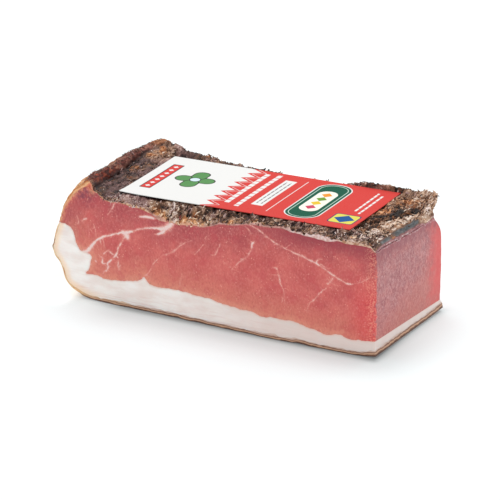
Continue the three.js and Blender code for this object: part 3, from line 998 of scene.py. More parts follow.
def spread_spice(crust):
    """Shavings, crumbs, flakes, herb needles and fine fibres over the crust."""
    random = np.random.default_rng(SEED)
    middles, normals, areas = faces_of(crust)
    x, y, z = middles.T
    t = np.clip(y / DEPTH, 0, 1)
    crest, top, foot, _ = lip_places(t)
    flat = smooth((x - foot + MM) / (2 * MM))
    outside = smooth((crest - 3 * MM - x) / (2 * MM)) * past(z, 53, 2)
    on_crest = smooth((foot - x) / (2 * MM)) * smooth((z - top + 2.4 * MM) / (1.6 * MM))
    cut_gap = mix(0.4, 1.5, past(x, 150, 15)) * MM
    surface = (z > 60 * MM) & (y > cut_gap) & (x < END_X - MM)
    surface = surface & ((normals[:, 2] > 0.15) | (outside > 0.5))
    bare = smooth((fall_share(x, y) - mix(0.18, 0.5, past(y, 66, 8))) / 0.12)
    open_crust = surface * flat * (1 - 0.95 * bare)
    rough = rough_share(x, y)
    pale, hue = crust_look(x, y, z)

    def looks(chosen, lift, spread, warm=0):
        """Tones and hues of bits, by where they lie."""
        wide = 1 + 1.2 * around(x[chosen], 212, 14) * around(y[chosen], 20, 15)
        tones = pale[chosen] + lift + spread * wide * random.normal(size=len(chosen))
        hues = hue[chosen] + warm + 0.14 * random.normal(size=len(chosen))
        return np.clip(np.stack([tones, hues], 1), 0, 1)

    crumbs = [crumb_shape(random) for _ in range(5)]
    shreds = [shred_shape(random) for _ in range(6)]
    corner = around(x, 205, 20) * around(y, 16, 14)
    flaky = open_crust * (0.15 * rough + 0.4 * corner + smooth((pale - 0.5) / 0.2))
    flaky = flaky + 0.06 * surface * on_crest
    crumbly = open_crust * mix(0.05, 1, rough)
    even = np.ones(len(x))
    # Name, shapes, number and density, length from and to, least and most share of that along, across
    # and out, how far they stand out, how much paler they are, how uneven, and how tilted and stray
    kinds = (
        ("crust_shavings", shreds, SHAVINGS, open_crust, 1.5, 5.5, [0.8, 0.13, 0.1], [1.1, 0.26, 0.2],
         0.1, 0, mix(0.18, 0.24, rough), 0.2, 0.35),
        ("crust_crumbs", crumbs, CRUMBS, crumbly, 1, 2.8, [0.9, 0.3, 0.25], [1.6, 0.62, 0.45],
         0.1, 0, 0.28 * even, 0.3, 0.5),
        ("crust_flakes", shreds, FLAKES, flaky, 1.2, 3.6, [1, 0.24, 0.14], [1.6, 0.5, 0.3],
         0.3, 0.14, 0.26 * even, 0.4, 0.5),
    )
    for name, shapes, count, density, low, high, least, most, sink, lift, spread, lean, stray in kinds:
        chosen = pick(random, areas, density, count)
        size = MM * mix(low, high, random.random(count) ** 1.5) * mix(0.72, 1, rough[chosen])
        sizes = size[:, None] * random.uniform(least, most, (count, 3))
        clear = clear_of_card(middles[chosen], 0.7 * sizes[:, 2] + 0.15 * MM)
        chosen, sizes = chosen[clear], sizes[clear]
        at = middles[chosen] + MM * random.uniform(-0.3, 0.3, (len(chosen), 3))
        at = at + sink * sizes[:, 2:] * normals[chosen]
        look = looks(chosen, lift, spread[chosen])
        finish_spice(scatter(name, shapes, at, normals[chosen], sizes, look, random, lean, stray))

    density = surface * (0.8 * flat + 0.22 * on_crest + 0.1 * outside) * (1 - bare)
    needles = [needle_shape(bend) for bend in (0.1, 0.6, -0.9)]
    chosen = pick(random, areas, density, NEEDLES)
    chosen = chosen[clear_of_card(middles[chosen], 1.1 * MM)]
    sizes = MM * random.uniform([2.2, 0.26, 0.26], [6.5, 0.5, 0.42], (len(chosen), 3))
    at = middles[chosen] + 0.5 * sizes[:, 2:] * normals[chosen]
    inside = under_card(at[:, 0], at[:, 1])[1]
    kept = (inside < -0.45 * sizes[:, 0]) | (inside < -3 * MM)
    kept &= (at[:, 1] > 0.4 * sizes[:, 0]) & (at[:, 1] < DEPTH - 0.4 * sizes[:, 0])
    kept &= at[:, 2] < MEAT_TOP - MM
    chosen, at, sizes = chosen[kept], at[kept], sizes[kept]
    look = looks(chosen, 0.12, 0.2, 0.14)
    finish_spice(scatter("herb_needles", needles, at, normals[chosen], sizes, look, random, 0.16, 0.5))

    edge = smooth((x - crest + 9 * MM) / (3 * MM)) * until(y, 5, 3) * past(z, 70, 6)
    density = surface * (on_crest + edge + 0.1 * flat * until(y, 3, 2))
    fibres = [needle_shape(bend) for bend in (0.8, 2.2, -3)]
    chosen = pick(random, areas, density, FIBRES)
    sizes = MM * random.uniform([1.5, 0.12, 0.12], [4.8, 0.24, 0.24], (len(chosen), 3))
    at = middles[chosen] + 0.25 * MM * normals[chosen]
    at[:, 2] = np.minimum(at[:, 2], MEAT_TOP - 0.9 * MM)
    at[:, 1] = np.clip(at[:, 1], 2 * MM, DEPTH - 2 * MM)
    look = looks(chosen, 0.3 * edge[chosen] - 0.04, 0.2, 0.25 + 0.6 * edge[chosen])
    finish_spice(scatter("crust_fibres", fibres, at, normals[chosen], sizes, look, random, 0.45, 9))


def in_grey_band(x, y):
    """1 on the smooth grey strip that falls to the right end."""
    share = fall_share(x, y) + 0.1 * noise(x, y, 0, 5)
    across = smooth((share - STRIP_TOP) / 0.12) * smooth((STRIP_FOOT - share) / 0.12)
    gap = 1 - around(y, 29, 4)
    return across * gap * past(y, 10, 4) * until(y, 68, 5)


DRY_COLOURS = (  # over the tone: purple-brown, tan and orange
    ((0, (22, 8, 8)), (0.25, (66, 38, 35)), (0.45, (108, 75, 71)), (0.65, (154, 120, 116)),
     (0.85, (200, 172, 168)), (1, (234, 216, 212))),
    ((0, (20, 8, 4)), (0.25, (66, 40, 26)), (0.45, (114, 78, 56)), (0.65, (162, 124, 99)),
     (0.85, (210, 180, 158)), (1, (240, 222, 208))),
    ((0, (44, 18, 8)), (0.25, (112, 60, 30)), (0.45, (168, 102, 58)), (0.65, (208, 146, 98)),
     (0.85, (236, 188, 146)), (1, (246, 216, 184))),
)


def dry_colour(f, tone, hue):
    """Colour of the crust and its bits, by their tone and hue."""
    purple, tan, orange = (f.ramp(tone, colours) for colours in DRY_COLOURS)
    brown = f.blend(f.rise(hue, 0.02, 0.5), purple, tan)
    return f.blend(f.rise(hue, 0.55, 1), brown, orange)


def finish_spice(made):
    """The dry bits on the crust, each with its tone and hue."""
    f = Finish(made.name)
    tone = f.ragged(f.attribute("tone"), 0.5, 2, 0.12)
    f.set(Base_Color=dry_colour(f, tone, f.attribute("hue")), Roughness=0.52, Specular_IOR_Level=0.3)
    f.bump(f.noise(0.35, 2), 0.08 * MM, 0.5)
    finish_piece(made, ["lean"], f.material)


def srgb(red, green, blue):
    """A colour from its usual 0 to 255 values, as shaders take it."""
    shares = [value / 255 for value in (red, green, blue)]
    return [v / 12.92 if v <= 0.04045 else ((v + 0.055) / 1.055) ** 2.4 for v in shares] + [1]


class Finish:
    """A material's nodes, with short ways to add what the finishes here are made of."""

    def __init__(self, name):
        self.material = bpy.data.materials.new(name)
        self.material.use_nodes = True
        self.tree = self.material.node_tree
        self.surface = self.tree.nodes["Principled BSDF"]
        self.place = self.node("ShaderNodeTexCoord").outputs["Object"]

    def node(self, kind, inputs=None, **settings):
        made = self.tree.nodes.new(kind)
        for name, value in settings.items():
            setattr(made, name, value)
        for name, value in (inputs or {}).items():
            self.feed(made.inputs[name], value)
        return made

    def feed(self, socket, value):
        """Links a socket to another one, or gives it a value of its own."""
        if isinstance(value, bpy.types.NodeSocket):
            self.tree.links.new(value, socket)
        else:
            socket.default_value = value

    def set(self, **values):
        """Feeds the surface shader, with names as in its panel and _ for a space."""
        for name, value in values.items():
            self.feed(self.surface.inputs[name.replace("_", " ")], value)

    def attribute(self, name):
        return self.node("ShaderNodeAttribute", attribute_name=name).outputs["Fac"]

    def block_places(self):
        """Places along the block, its depth and its height, in mm from the front cut's left."""
        return self.local_places((BLOCK_X, BLOCK_Y, 0), (0, 0, 0))

    def local_places(self, origin, turn):
        """Places in mm from an origin, along axes that are turned."""
        inputs = {"Vector": self.place, "Location": origin, "Rotation": turn, "Scale": (MM, MM, MM)}
        moved = self.node("ShaderNodeMapping", inputs, vector_type="TEXTURE").outputs[0]
        return self.node("ShaderNodeSeparateXYZ", {0: moved}).outputs

    def place_of(self, x, y, z):
        """A place of the block, given in mm, in the object's metres."""
        return (BLOCK_X + x * MM, BLOCK_Y + y * MM, z * MM)

    def distance(self, place):
        """Distance from a place, in mm."""
        gap = self.node("ShaderNodeVectorMath", {0: self.place, 1: place}, operation="DISTANCE")
        return self.maths("DIVIDE", gap.outputs["Value"], MM)

    def maths(self, operation, a, b=0.5):
        return self.node("ShaderNodeMath", {0: a, 1: b}, operation=operation).outputs[0]

    def plus(self, a, b):
        return self.maths("ADD", a, b)

    def minus(self, a, b):
        return self.maths("SUBTRACT", a, b)

    def times(self, a, *others):
        for other in others:
            a = self.maths("MULTIPLY", a, other)
        return a

    def stretched(self, scale, turn=(0, 0, 0)):
        inputs = {"Vector": self.place, "Scale": scale, "Rotation": turn}
        return self.node("ShaderNodeMapping", inputs).outputs[0]

    def noise(self, size, detail, place=None, rough=0.55, distortion=0):
        """Noise of a size in mm."""
        inputs = {
            "Vector": place or self.place, "Scale": 1 / (size * MM), "Detail": detail,
            "Roughness": rough, "Distortion": distortion,
        }
        return self.node("ShaderNodeTexNoise", inputs).outputs["Fac"]

    def cloud(self, size, detail, low, high, start=0, end=1):
        """Noise of a size in mm, spread from start to end."""
        return self.rise(self.noise(size, detail), low, high, start, end)

    def ragged(self, value, size, detail, reach, low=0.2):
        """A value with noise of a size in mm added, by up to the reach either way."""
        return self.plus(value, self.cloud(size, detail, low, 1 - low, -reach, reach))

    def cells(self, size):
        """Distance from the middles of random cells of a size in mm."""
        inputs = {"Vector": self.place, "Scale": 1 / (size * MM)}
        return self.node("ShaderNodeTexVoronoi", inputs).outputs["Distance"]

    def between(self, value, low, high, soft=0.12):
        """1 between two values, and 0 outside them."""
        above = self.rise(value, low - soft, low + soft)
        return self.times(above, self.rise(value, high + soft, high - soft))

    def panel(self, u, v, low, high, start, end):
        """1 in a rectangle, from low to high in u and from start to end in v."""
        return self.times(self.between(u, low, high), self.between(v, start, end))

    def rounded(self, u, v, middle, half, radius):
        """Distance from the edge of a rectangle with round corners, negative inside it."""
        gaps = []
        for value, centre, reach in zip((u, v), middle, half):
            away = self.maths("ABSOLUTE", self.minus(value, centre))
            gaps.append(self.maths("MAXIMUM", self.minus(away, reach - radius), 0))
        length = self.maths("SQRT", self.plus(*(self.maths("POWER", gap, 2) for gap in gaps)))
        return self.minus(length, radius)

    def diamond(self, u, v, middle, half):
        """Distance from the edge of a diamond, negative inside it."""
        parts = []
        for value, centre, reach in zip((u, v), middle, half):
            away = self.maths("ABSOLUTE", self.minus(value, centre))
            parts.append(self.maths("DIVIDE", away, reach))
        return self.times(self.minus(self.plus(*parts), 1), min(half))

    def paint(self, ground, gap, colour):
        """Prints a colour over the ground where the distance is negative."""
        return self.blend(self.rise(gap, 0.12, -0.12), ground, colour)

    def rise(self, value, low, high, start=0, end=1):
        """From start, where the value is low, to end, where it is high."""
        inputs = {"Value": value, "From Min": low, "From Max": high, "To Min": start, "To Max": end}
        return self.node("ShaderNodeMapRange", inputs, interpolation_type="SMOOTHSTEP").outputs[0]

    def blend(self, share, a, b):
        """Colour a where the share is 0, and b where it is 1."""
        made = self.node("ShaderNodeMix", data_type="RGBA")
        sockets = {socket.identifier: socket for socket in made.inputs}
        for name, value in (("Factor_Float", share), ("A_Color", a), ("B_Color", b)):
            self.feed(sockets[name], value)
        return next(socket for socket in made.outputs if socket.identifier == "Result_Color")

    def tint(self, ground, colour, *shares):
        """The ground with a colour over it, by the product of the shares."""
        return self.blend(self.times(*shares), ground, srgb(*colour))

    def ramp(self, value, stops):
        """Colours over a value, each given by its usual 0 to 255 values or as one even grey."""
        made = self.node("ShaderNodeValToRGB", {"Fac": value})
        band = made.color_ramp
        while len(band.elements) < len(stops):
            band.elements.new(1)
        for element, (place, colour) in zip(band.elements, stops):
            element.position = place
            element.color = srgb(*colour) if isinstance(colour, tuple) else [colour] * 3 + [1]
        return made.outputs["Color"]

    def bump(self, height, distance, strength=1):
        inputs = {"Height": height, "Distance": distance, "Strength": strength}
        self.set(Normal=self.node("ShaderNodeBump", inputs).outputs[0])


def meat_material():
    """Cured lean meat: rose red, darker below the crust, orange-pink beside the fat."""
    f = Finish("cured_meat")
    below = f.attribute("below_crust")
    above = f.attribute("above_fat")
    x, y, z = f.block_places()
    red = f.blend(f.cloud(16, 3, 0.3, 0.7), srgb(196, 84, 82), srgb(212, 104, 97))
    warm = f.rise(above, 0, 24, 1, 0)
    red = f.tint(red, (216, 126, 106), warm, 0.8)
    near_fat = f.rise(above, 0, 6, 1, 0)
    red = f.tint(red, (228, 150, 126), near_fat, 0.7)
    dark = f.rise(f.plus(below, f.cloud(9, 3, 0, 1, -7, 7)), 2, 26, 1, 0)
    red = f.tint(red, (170, 68, 74), dark, 0.85)
    at_side = f.times(f.rise(x, 17, 12), f.rise(z, 60, 78, 0.35, 1))
    frayed = f.ragged(below, 2.2, 4, 1.6, 0.25)
    red = f.tint(red, (224, 122, 94), f.rise(frayed, 1.5, 6.5, 0.85, 0), at_side)
    red = f.tint(red, (236, 172, 122), f.rise(frayed, 1.4, 4, 0.9, 0), at_side)
    plum = f.rise(f.distance(f.place_of(8, 0, 78)), 2, 13, 1, 0)
    plum = f.times(plum, f.cloud(4, 3, 0.35, 0.6))
    red = f.tint(red, (112, 52, 74), plum, 0.75)
    corner = f.times(f.rise(x, 206, 228), f.rise(z, 66, 34))
    red = f.tint(red, (216, 68, 72), corner, 0.85)
    fibres = f.noise(1.2, 5, f.stretched((1, 1, 0.6)), 0.75)
    red = f.tint(red, (224, 144, 134), f.rise(fibres, 0.45, 0.75, 0, 0.5))
    red = f.tint(red, (150, 58, 62), f.rise(fibres, 0.5, 0.25, 0, 0.4))
    rosy = f.times(f.cloud(6, 3, 0.5, 0.66), 0.35)
    red = f.tint(red, (198, 74, 80), rosy)
    flecks = f.times(f.rise(f.cells(2), 0.3, 0.12), f.cloud(7, 2, 0.48, 0.62))
    red = f.tint(red, (232, 164, 150), flecks, 0.6)
    rim = f.times(f.rise(below, 0.7, 1.8, 1, 0), f.rise(x, 180, 160))
    red = f.tint(red, (206, 140, 120), rim, 0.5)
    shade = f.times(f.rise(x, 140, 175, 0, 0.65), f.rise(below, 3, 13, 1, 0))
    red = f.tint(red, (146, 48, 62), shade)

    # The cut end under a purple-grey veil, part its own colour and part painted sheen; its borders stay red
    grain = f.noise(0.9, 5, f.stretched((1, 1, 0.4), (-0.25, 0, 0)), 0.8, 0.6)
    cloudy = f.cloud(9, 3, 0.35, 0.65)
    veil = f.blend(cloudy, srgb(140, 74, 82), srgb(170, 98, 98))
    veil = f.tint(veil, (214, 170, 168), f.rise(grain, 0.4, 0.72))
    veil = f.tint(veil, (128, 56, 70), f.rise(grain, 0.5, 0.3, 0, 0.5))
    wavy = f.ragged(y, 7, 3, 5)
    low = f.times(f.rise(f.minus(z, f.times(y, 0.25)), 34, 2), 0.55)
    veil = f.tint(veil, (196, 112, 96), low)
    border = f.times(f.rise(wavy, 70, 95), f.rise(z, 4, 30, 0.6, 1))
    veil = f.tint(veil, (216, 84, 82), border)
    high = f.rise(f.ragged(z, 5, 3, 5), 60, 74)
    veil = f.tint(veil, (136, 66, 76), high, 0.7)
    line = f.ragged(below, 3, 3, 1.2)
    line = f.times(f.between(line, 1.6, 2.1, 0.3), 0.45)
    veil = f.tint(veil, (236, 218, 218), line)
    ragged = f.ragged(y, 3, 4, 2)
    # Painted sheen: a pale haze over the cut end, as of a clear film that reflects the light
    film_sheen = f.times(f.attribute("cut_end"), f.rise(ragged, 0.8, 2.6))
    red = f.blend(f.times(film_sheen, f.rise(z, 55, 74, 0.85, 0.72)), red, veil)
    front_edge = f.times(f.rise(x, 221, 230), f.rise(ragged, 2.4, 0.8))
    beads = f.noise(0.95, 1)
    red = f.tint(red, (236, 156, 132), front_edge, f.rise(beads, 0.46, 0.64, 0, 0.62))
    red = f.tint(red, (190, 50, 56), front_edge, f.rise(beads, 0.45, 0.3, 0, 0.35))

    # Marbling: pink where it is thin, and greyish white where it is thick
    ragged = f.ragged(f.attribute("marbling"), 0.8, 3, 0.16)
    fat = f.ramp(ragged, [
        (0.3, (226, 148, 134)), (0.58, (232, 178, 168)), (0.84, (237, 212, 207)),
    ])
    red = f.tint(red, (226, 150, 140), f.rise(ragged, 0.05, 0.45, 0, 0.42))
    red = f.blend(f.rise(ragged, 0.3, 0.75, 0, 0.92), red, fat)
    f.set(Base_Color=red, Roughness=f.cloud(3, 2, 0.3, 0.7, 0.38, 0.52))
    f.set(Subsurface_Weight=0.3, Subsurface_Radius=(1, 0.35, 0.25), Subsurface_Scale=2 * MM)
    f.set(Specular_IOR_Level=0.4)
    f.bump(f.noise(0.9, 4), 0.12 * MM, 0.6)
    return f.material


def fat_material():
    """White fat with faint pink clouds, yellower towards the rind at the left and pink beside the
    meat, and greyer towards the right, which is painted shade."""
    f = Finish("white_fat")
    x, _, z = f.block_places()
    clouds = f.noise(7, 4, f.stretched((0.4, 1, 1)))
    white = f.blend(f.rise(clouds, 0.35, 0.7), srgb(246, 240, 236), srgb(236, 222, 216))
    lines = f.times(f.noise(1.3, 3, f.stretched((0.06, 1, 1))), f.rise(z, 13, 5, 0.85, 1.05))
    white = f.tint(white, (222, 190, 182), f.rise(lines, 0.5, 0.7, 0, 0.45))
    # Painted shade: greyer towards the right, where less light falls on the fat
    right = f.rise(x, 60, 180, 0, 0.75)
    white = f.tint(white, (224, 204, 197), right)
    gold = f.times(f.rise(f.attribute("to_rind"), 0.1, 6, 1, 0), f.rise(x, 34, -5))
    white = f.tint(white, (250, 206, 160), gold, 0.66)
    pink = f.rise(f.attribute("to_meat"), 0.1, 1.6, 1, 0)
    white = f.tint(white, (236, 190, 176), pink, 0.6)
    f.set(Base_Color=white, Roughness=0.42)
    f.set(Subsurface_Weight=0.4, Subsurface_Radius=(1, 0.7, 0.6), Subsurface_Scale=2.5 * MM)
    f.bump(f.noise(1.2, 4), 0.1 * MM, 0.5)
    return f.material


def rind_material():
    """Leathery rind: brown and pored outside, in brown and tan layers at the cut, and thin and
    golden where it goes up the left side."""
    f = Finish("rind")
    x, y, z = f.block_places()
    tone = f.noise(4, 5, f.stretched((0.4, 1, 1)))
    layers = f.plus(f.attribute("depth"), f.rise(tone, 0.25, 0.75, -0.5, 0.5))
    layers = f.times(layers, f.rise(x, 220, 231, 1, 0.74))
    brown = f.ramp(f.rise(layers, 0, 3.2), [
        (0.0, (92, 58, 44)), (0.2, (122, 84, 64)), (0.32, (196, 152, 122)),
        (0.56, (204, 160, 130)), (0.68, (112, 70, 54)), (0.82, (150, 108, 88)),
        (1.0, (212, 184, 170)),
    ])
    golden = f.ramp(tone, [(0.3, (198, 142, 94)), (0.5, (226, 182, 134)), (0.7, (238, 206, 166))])
    brown = f.blend(f.times(f.rise(z, 1, 5), f.rise(x, 60, 30)), brown, golden)
    upper = f.rise(f.ragged(z, 8, 5, 20, 0.25), 40, 52)
    upper = f.times(upper, f.rise(y, 2, 8))
    brown = f.tint(brown, (134, 78, 50), upper, 0.8)
    for height, reach in ((37, 6), (9, 5)):
        chip = f.rise(f.distance(f.place_of(-19, 0, height)), reach, reach - 4)
        brown = f.tint(brown, (138, 84, 44), chip, 0.8)
    f.set(Base_Color=brown, Roughness=0.55)
    f.bump(f.noise(0.8, 3), 0.15 * MM, 0.7)
    return f.material


def crust_material():
    """Smoked crust: near black in its cracks and brown to cream on its ridges, partly as painted shade,
    leathery red-brown on the lip, golden and salmon at the lip's front end and pale pink along its cut."""
    f = Finish("smoked_crust")
    x, y, z = f.block_places()
    height = f.attribute("relief")
    threads = f.noise(1.1, 5, f.stretched((1, 0.35, 1)), 0.7, 0.5)
    fine = f.rise(threads, 0.25, 0.75, -0.2, 0.2)
    # Painted shade: the tone follows the relief, darker in the cracks and paler on the ridges
    tone = f.plus(f.times(height, 0.34), f.plus(fine, f.attribute("pale")))
    orange = f.ramp(threads, [
        (0.3, (112, 62, 36)), (0.5, (176, 112, 70)), (0.7, (214, 162, 116)),
    ])
    brown = dry_colour(f, f.minus(tone, 0.06), f.attribute("hue"))

    # The lip, redder in front and purple-brown behind
    mottled = f.noise(3, 4, f.stretched((1, 0.6, 1)))
    # Painted shade: the lip's colour follows its relief, darker in the hollows of its folds
    folds = f.plus(f.times(height, 0.4), f.rise(mottled, 0.3, 0.7, 0.1, 0.9))
    lip = f.ramp(folds, [
        (0.0, (38, 8, 3)), (0.35, (90, 27, 12)), (0.6, (130, 47, 25)),
        (0.85, (168, 80, 48)), (1, (194, 122, 86)),
    ])
    grey_lip = f.ramp(folds, [(0.0, (46, 16, 12)), (0.5, (110, 52, 41)), (1.0, (170, 116, 100))])
    behind = f.rise(f.plus(y, f.rise(mottled, 0.3, 0.7, -12, 12)), 36, 64, 0, 0.85)
    lip = f.blend(behind, lip, grey_lip)
    front = f.times(f.rise(y, 22, 6), f.rise(x, 9, 11.5))
    lip = f.tint(lip, (52, 18, 12), front, 0.7)
    back_end = f.times(f.rise(y, 90, 97), f.rise(z, 82.5, 85.5))
    lip = f.blend(f.times(back_end, 0.8), lip, orange)
    brown = f.blend(f.attribute("leather"), brown, lip)
    # Painted shade, near black, in the groove at the lip's foot
    brown = f.tint(brown, (26, 10, 8), f.attribute("crease_shade"), 0.85)
    golden = f.ramp(threads, [
        (0.3, (176, 110, 60)), (0.5, (214, 156, 102)), (0.7, (232, 190, 146)),
    ])
    low = f.rise(f.ragged(z, 7, 5, 13, 0.25), 66, 52, 0, 0.85)
    share = f.maths("MAXIMUM", low, f.rise(y, 30, 3, 0.2, 1))
    brown = f.blend(f.times(f.attribute("outside"), share), brown, golden)

    # The cut: golden, then salmon on the lip, and pale pink elsewhere
    depth = f.ragged(f.attribute("depth"), 1.6, 3, 0.5)
    lip_cut = f.ramp(f.rise(depth, 0, 6), [
        (0.0, (190, 118, 68)), (0.16, (238, 186, 138)), (0.34, (234, 158, 112)),
        (0.55, (218, 120, 96)), (1.0, (184, 86, 86)),
    ])
    cream = f.blend(f.cloud(2, 3, 0.35, 0.65), srgb(206, 160, 150), srgb(232, 208, 204))
    ruddy = f.blend(f.rise(mottled, 0.4, 0.6), srgb(172, 116, 106), srgb(206, 158, 148))
    cream = f.blend(f.rise(x, 174, 158), cream, ruddy)
    tan = f.blend(f.rise(mottled, 0.4, 0.6), srgb(172, 120, 92), srgb(222, 186, 164))
    cream = f.blend(f.rise(x, 198, 208), cream, tan)
    peach = f.rise(f.distance(f.place_of(84, 0, 70)), 24, 8, 0, 0.6)
    cream = f.tint(cream, (232, 172, 132), peach)
    streaks = f.blend(f.rise(mottled, 0.4, 0.6), srgb(178, 116, 76), srgb(226, 188, 158))
    cream = f.blend(f.rise(x, 62, 54), cream, streaks)
    cut = f.blend(f.rise(x, 16, 11), cream, lip_cut)
    brown = f.blend(f.attribute("at_cut"), brown, cut)

    # The right end: a grey strip, then a reddish one with a white line below
    fall = f.ragged(f.attribute("fall"), 3, 3, 0.09)
    strip = f.ramp(f.noise(2, 4, f.stretched((1, 0.4, 1)), 0.7), [
        (0.3, (54, 57, 59)), (0.5, (80, 82, 84)), (0.7, (116, 117, 118)),
    ])
    brown = f.blend(f.attribute("grey_band"), brown, strip)
    meaty = f.ramp(f.noise(1.5, 4, f.stretched((1.6, 0.3, 1.6))), [
        (0.35, (112, 66, 70)), (0.5, (150, 98, 102)), (0.7, (192, 144, 144)),
    ])
    dotted = f.cloud(1.2, 2, 0.42, 0.55)
    share = f.times(f.between(fall, 0.95, 1.04, 0.05), dotted)
    meaty = f.tint(meaty, (228, 212, 208), share, 0.85)
    brown = f.blend(f.attribute("at_end"), brown, meaty)
    f.set(Base_Color=brown, Roughness=f.cloud(2, 3, 0.3, 0.7, 0.42, 0.62))
    f.set(Specular_IOR_Level=0.3)
    f.bump(f.plus(f.noise(0.7, 4), threads), 0.25 * MM, 0.8)
    return f.material


def gap_to(points, line_at):
    """How far points are from a line of their slice, taken from a few slices."""
    gap = np.zeros(len(points))
    share = points[:, 1] / DEPTH
    for k in range(GAP_SLICES + 1):
        near = np.abs(share - k / GAP_SLICES) <= 0.5 / GAP_SLICES + 1e-6
        gap[near] = distance_to(points[near][:, [0, 2]], line_at(k / GAP_SLICES))[0]
    return gap


def build_block():
    """Meat, fat, rind and crust."""
    places = slice_places(MEAT_STEP)
    meat, points, _ = loft("lean_meat", meat_ring, places, CUT_STEP, vein_points)
    mark_meat(meat, points)
    finish_piece(meat, ["lean"], meat_material())
    fat, points, _ = loft("fat_layer", fat_ring, places, CUT_STEP)
    to_rind, to_meat = gap_to(points, fat_line) / MM, gap_to(points, seam_line) / MM
    set_attributes(fat, {"to_rind": to_rind, "to_meat": to_meat})
    finish_piece(fat, ["fat"], fat_material())
    rind, points, _ = loft("rind", rind_ring, slice_places(RIND_STEP), RIND_CUT_STEP)
    set_attributes(rind, {"depth": gap_to(points, outer_line) / MM})
    finish_piece(rind, ["fat"], rind_material())
    crust, points, carried = loft("crust", crust_ring, crust_slices(), CRUST_CUT_STEP, depth_at=crust_depth)
    mark_crust(crust, points, *carried.T)
    finish_piece(crust, ["lean"], crust_material())
    for made in (meat, fat, rind, crust):
        select_only(made)
        bpy.ops.object.shade_smooth_by_angle(angle=math.radians(45))
    spread_spice(crust)


def mark_crust(crust, points, relief, at_cut):
    """Relief, tones and the parts of the crust that look different. Points inside the cuts carry
    -1 as their relief."""
    x, y, z = points.T
    t = np.clip(y / DEPTH, 0, 1)
    crest, _, foot, _ = lip_places(t)
    pale, hue = crust_look(x, y, z)
    # Painted shade in the groove at the lip's foot
    crease_shade = bump((x - foot - 0.2 * MM) / (1.5 * MM)) * smooth((y - MM) / (3 * MM))
    front = y < 1.5 * MM
    depth = np.zeros(len(points))
    depth[front] = distance_to(points[front][:, [0, 2]], along(skin_line(0), step=0.5 * MM))[0]
    depth += 2.4 * MM * smooth((x - crest) / (2 * MM))
    fall = fall_share(x, y)
    strip_foot = mix(STRIP_FOOT, 0.92, past(y, 66, 8))
    outside = smooth((7 * MM + side_shift(t) - x) / (3 * MM)) * until(z, 86.5, 3)
    set_attributes(crust, {
        "relief": np.maximum(relief, -0.8),
        "pale": pale,
        "hue": hue,
        "leather": smooth((foot + 0.8 * MM - x) / (1.6 * MM)),
        "crease_shade": crease_shade * smooth((DEPTH - y) / (30 * MM)),
        "grey_band": in_grey_band(x, y),
        "at_cut": np.where(relief == -1, 1, at_cut),
        "depth": depth / MM,
        "fall": np.clip(fall, -1, 2),
        "at_end": smooth((fall - strip_foot + 0.12) / 0.2),
        "outside": outside,
    })


def mark_meat(meat, points):
    """Marbling, and the distances that the meat's colour follows."""
    x, y, z = points.T
    section = points[:, [0, 2]]
    marbling = np.zeros(len(points))
    for t, near in ((0, y < 1.2 * MM), (1, y > back_y(x, z) - 1.2 * MM)):
        chosen = np.flatnonzero(near)
        marbling[chosen] = marbling_at(section[chosen], t)
    set_attributes(meat, {
        "marbling": marbling,
        "below_crust": gap_to(points, lambda t: along(skin_line(t), step=0.8 * MM)) / MM,
        "above_fat": gap_to(points, seam_line) / MM,
        "cut_end": x > END_X - 1.2 * MM,
    })


def make_card():
    """The printed card, lying over the crust, with a slight wave and a curled corner."""
    bpy.ops.object.select_all(action="DESELECT")
    bpy.ops.mesh.primitive_grid_add(x_subdivisions=70, y_subdivisions=34, size=1)
    card = bpy.context.object
    card.name = "printed_card"
    bpy.ops.object.mode_set(mode="EDIT")
    bpy.ops.transform.resize(value=(CARD_LENGTH, CARD_WIDTH, 1))
    bpy.ops.object.mode_set(mode="OBJECT")
    for vertex in card.data.vertices:
        u, v = vertex.co.x / CARD_LENGTH, vertex.co.y / CARD_WIDTH
        corner = math.hypot(vertex.co.x + CARD_LENGTH / 2, vertex.co.y + CARD_WIDTH / 2)
        curl = max(0, 1 - corner / CURL_REACH) ** 2
        vertex.co.z = CARD_WAVE * math.sin(7 * u + 2) * math.cos(3 * v) + CARD_CURL * curl
    solidify = card.modifiers.new("thickness", "SOLIDIFY")
    solidify.thickness = CARD_THICKNESS
    solidify.offset = 0
    bpy.ops.object.modifier_apply(modifier="thickness")
    turn = Euler((CARD_ROLL, 0, CARD_YAW), "XYZ").to_matrix().to_4x4()
    turn.translation = CARD_MIDDLE
    card.data.transform(turn)
    return finish_piece(card, ["label"], card_material())


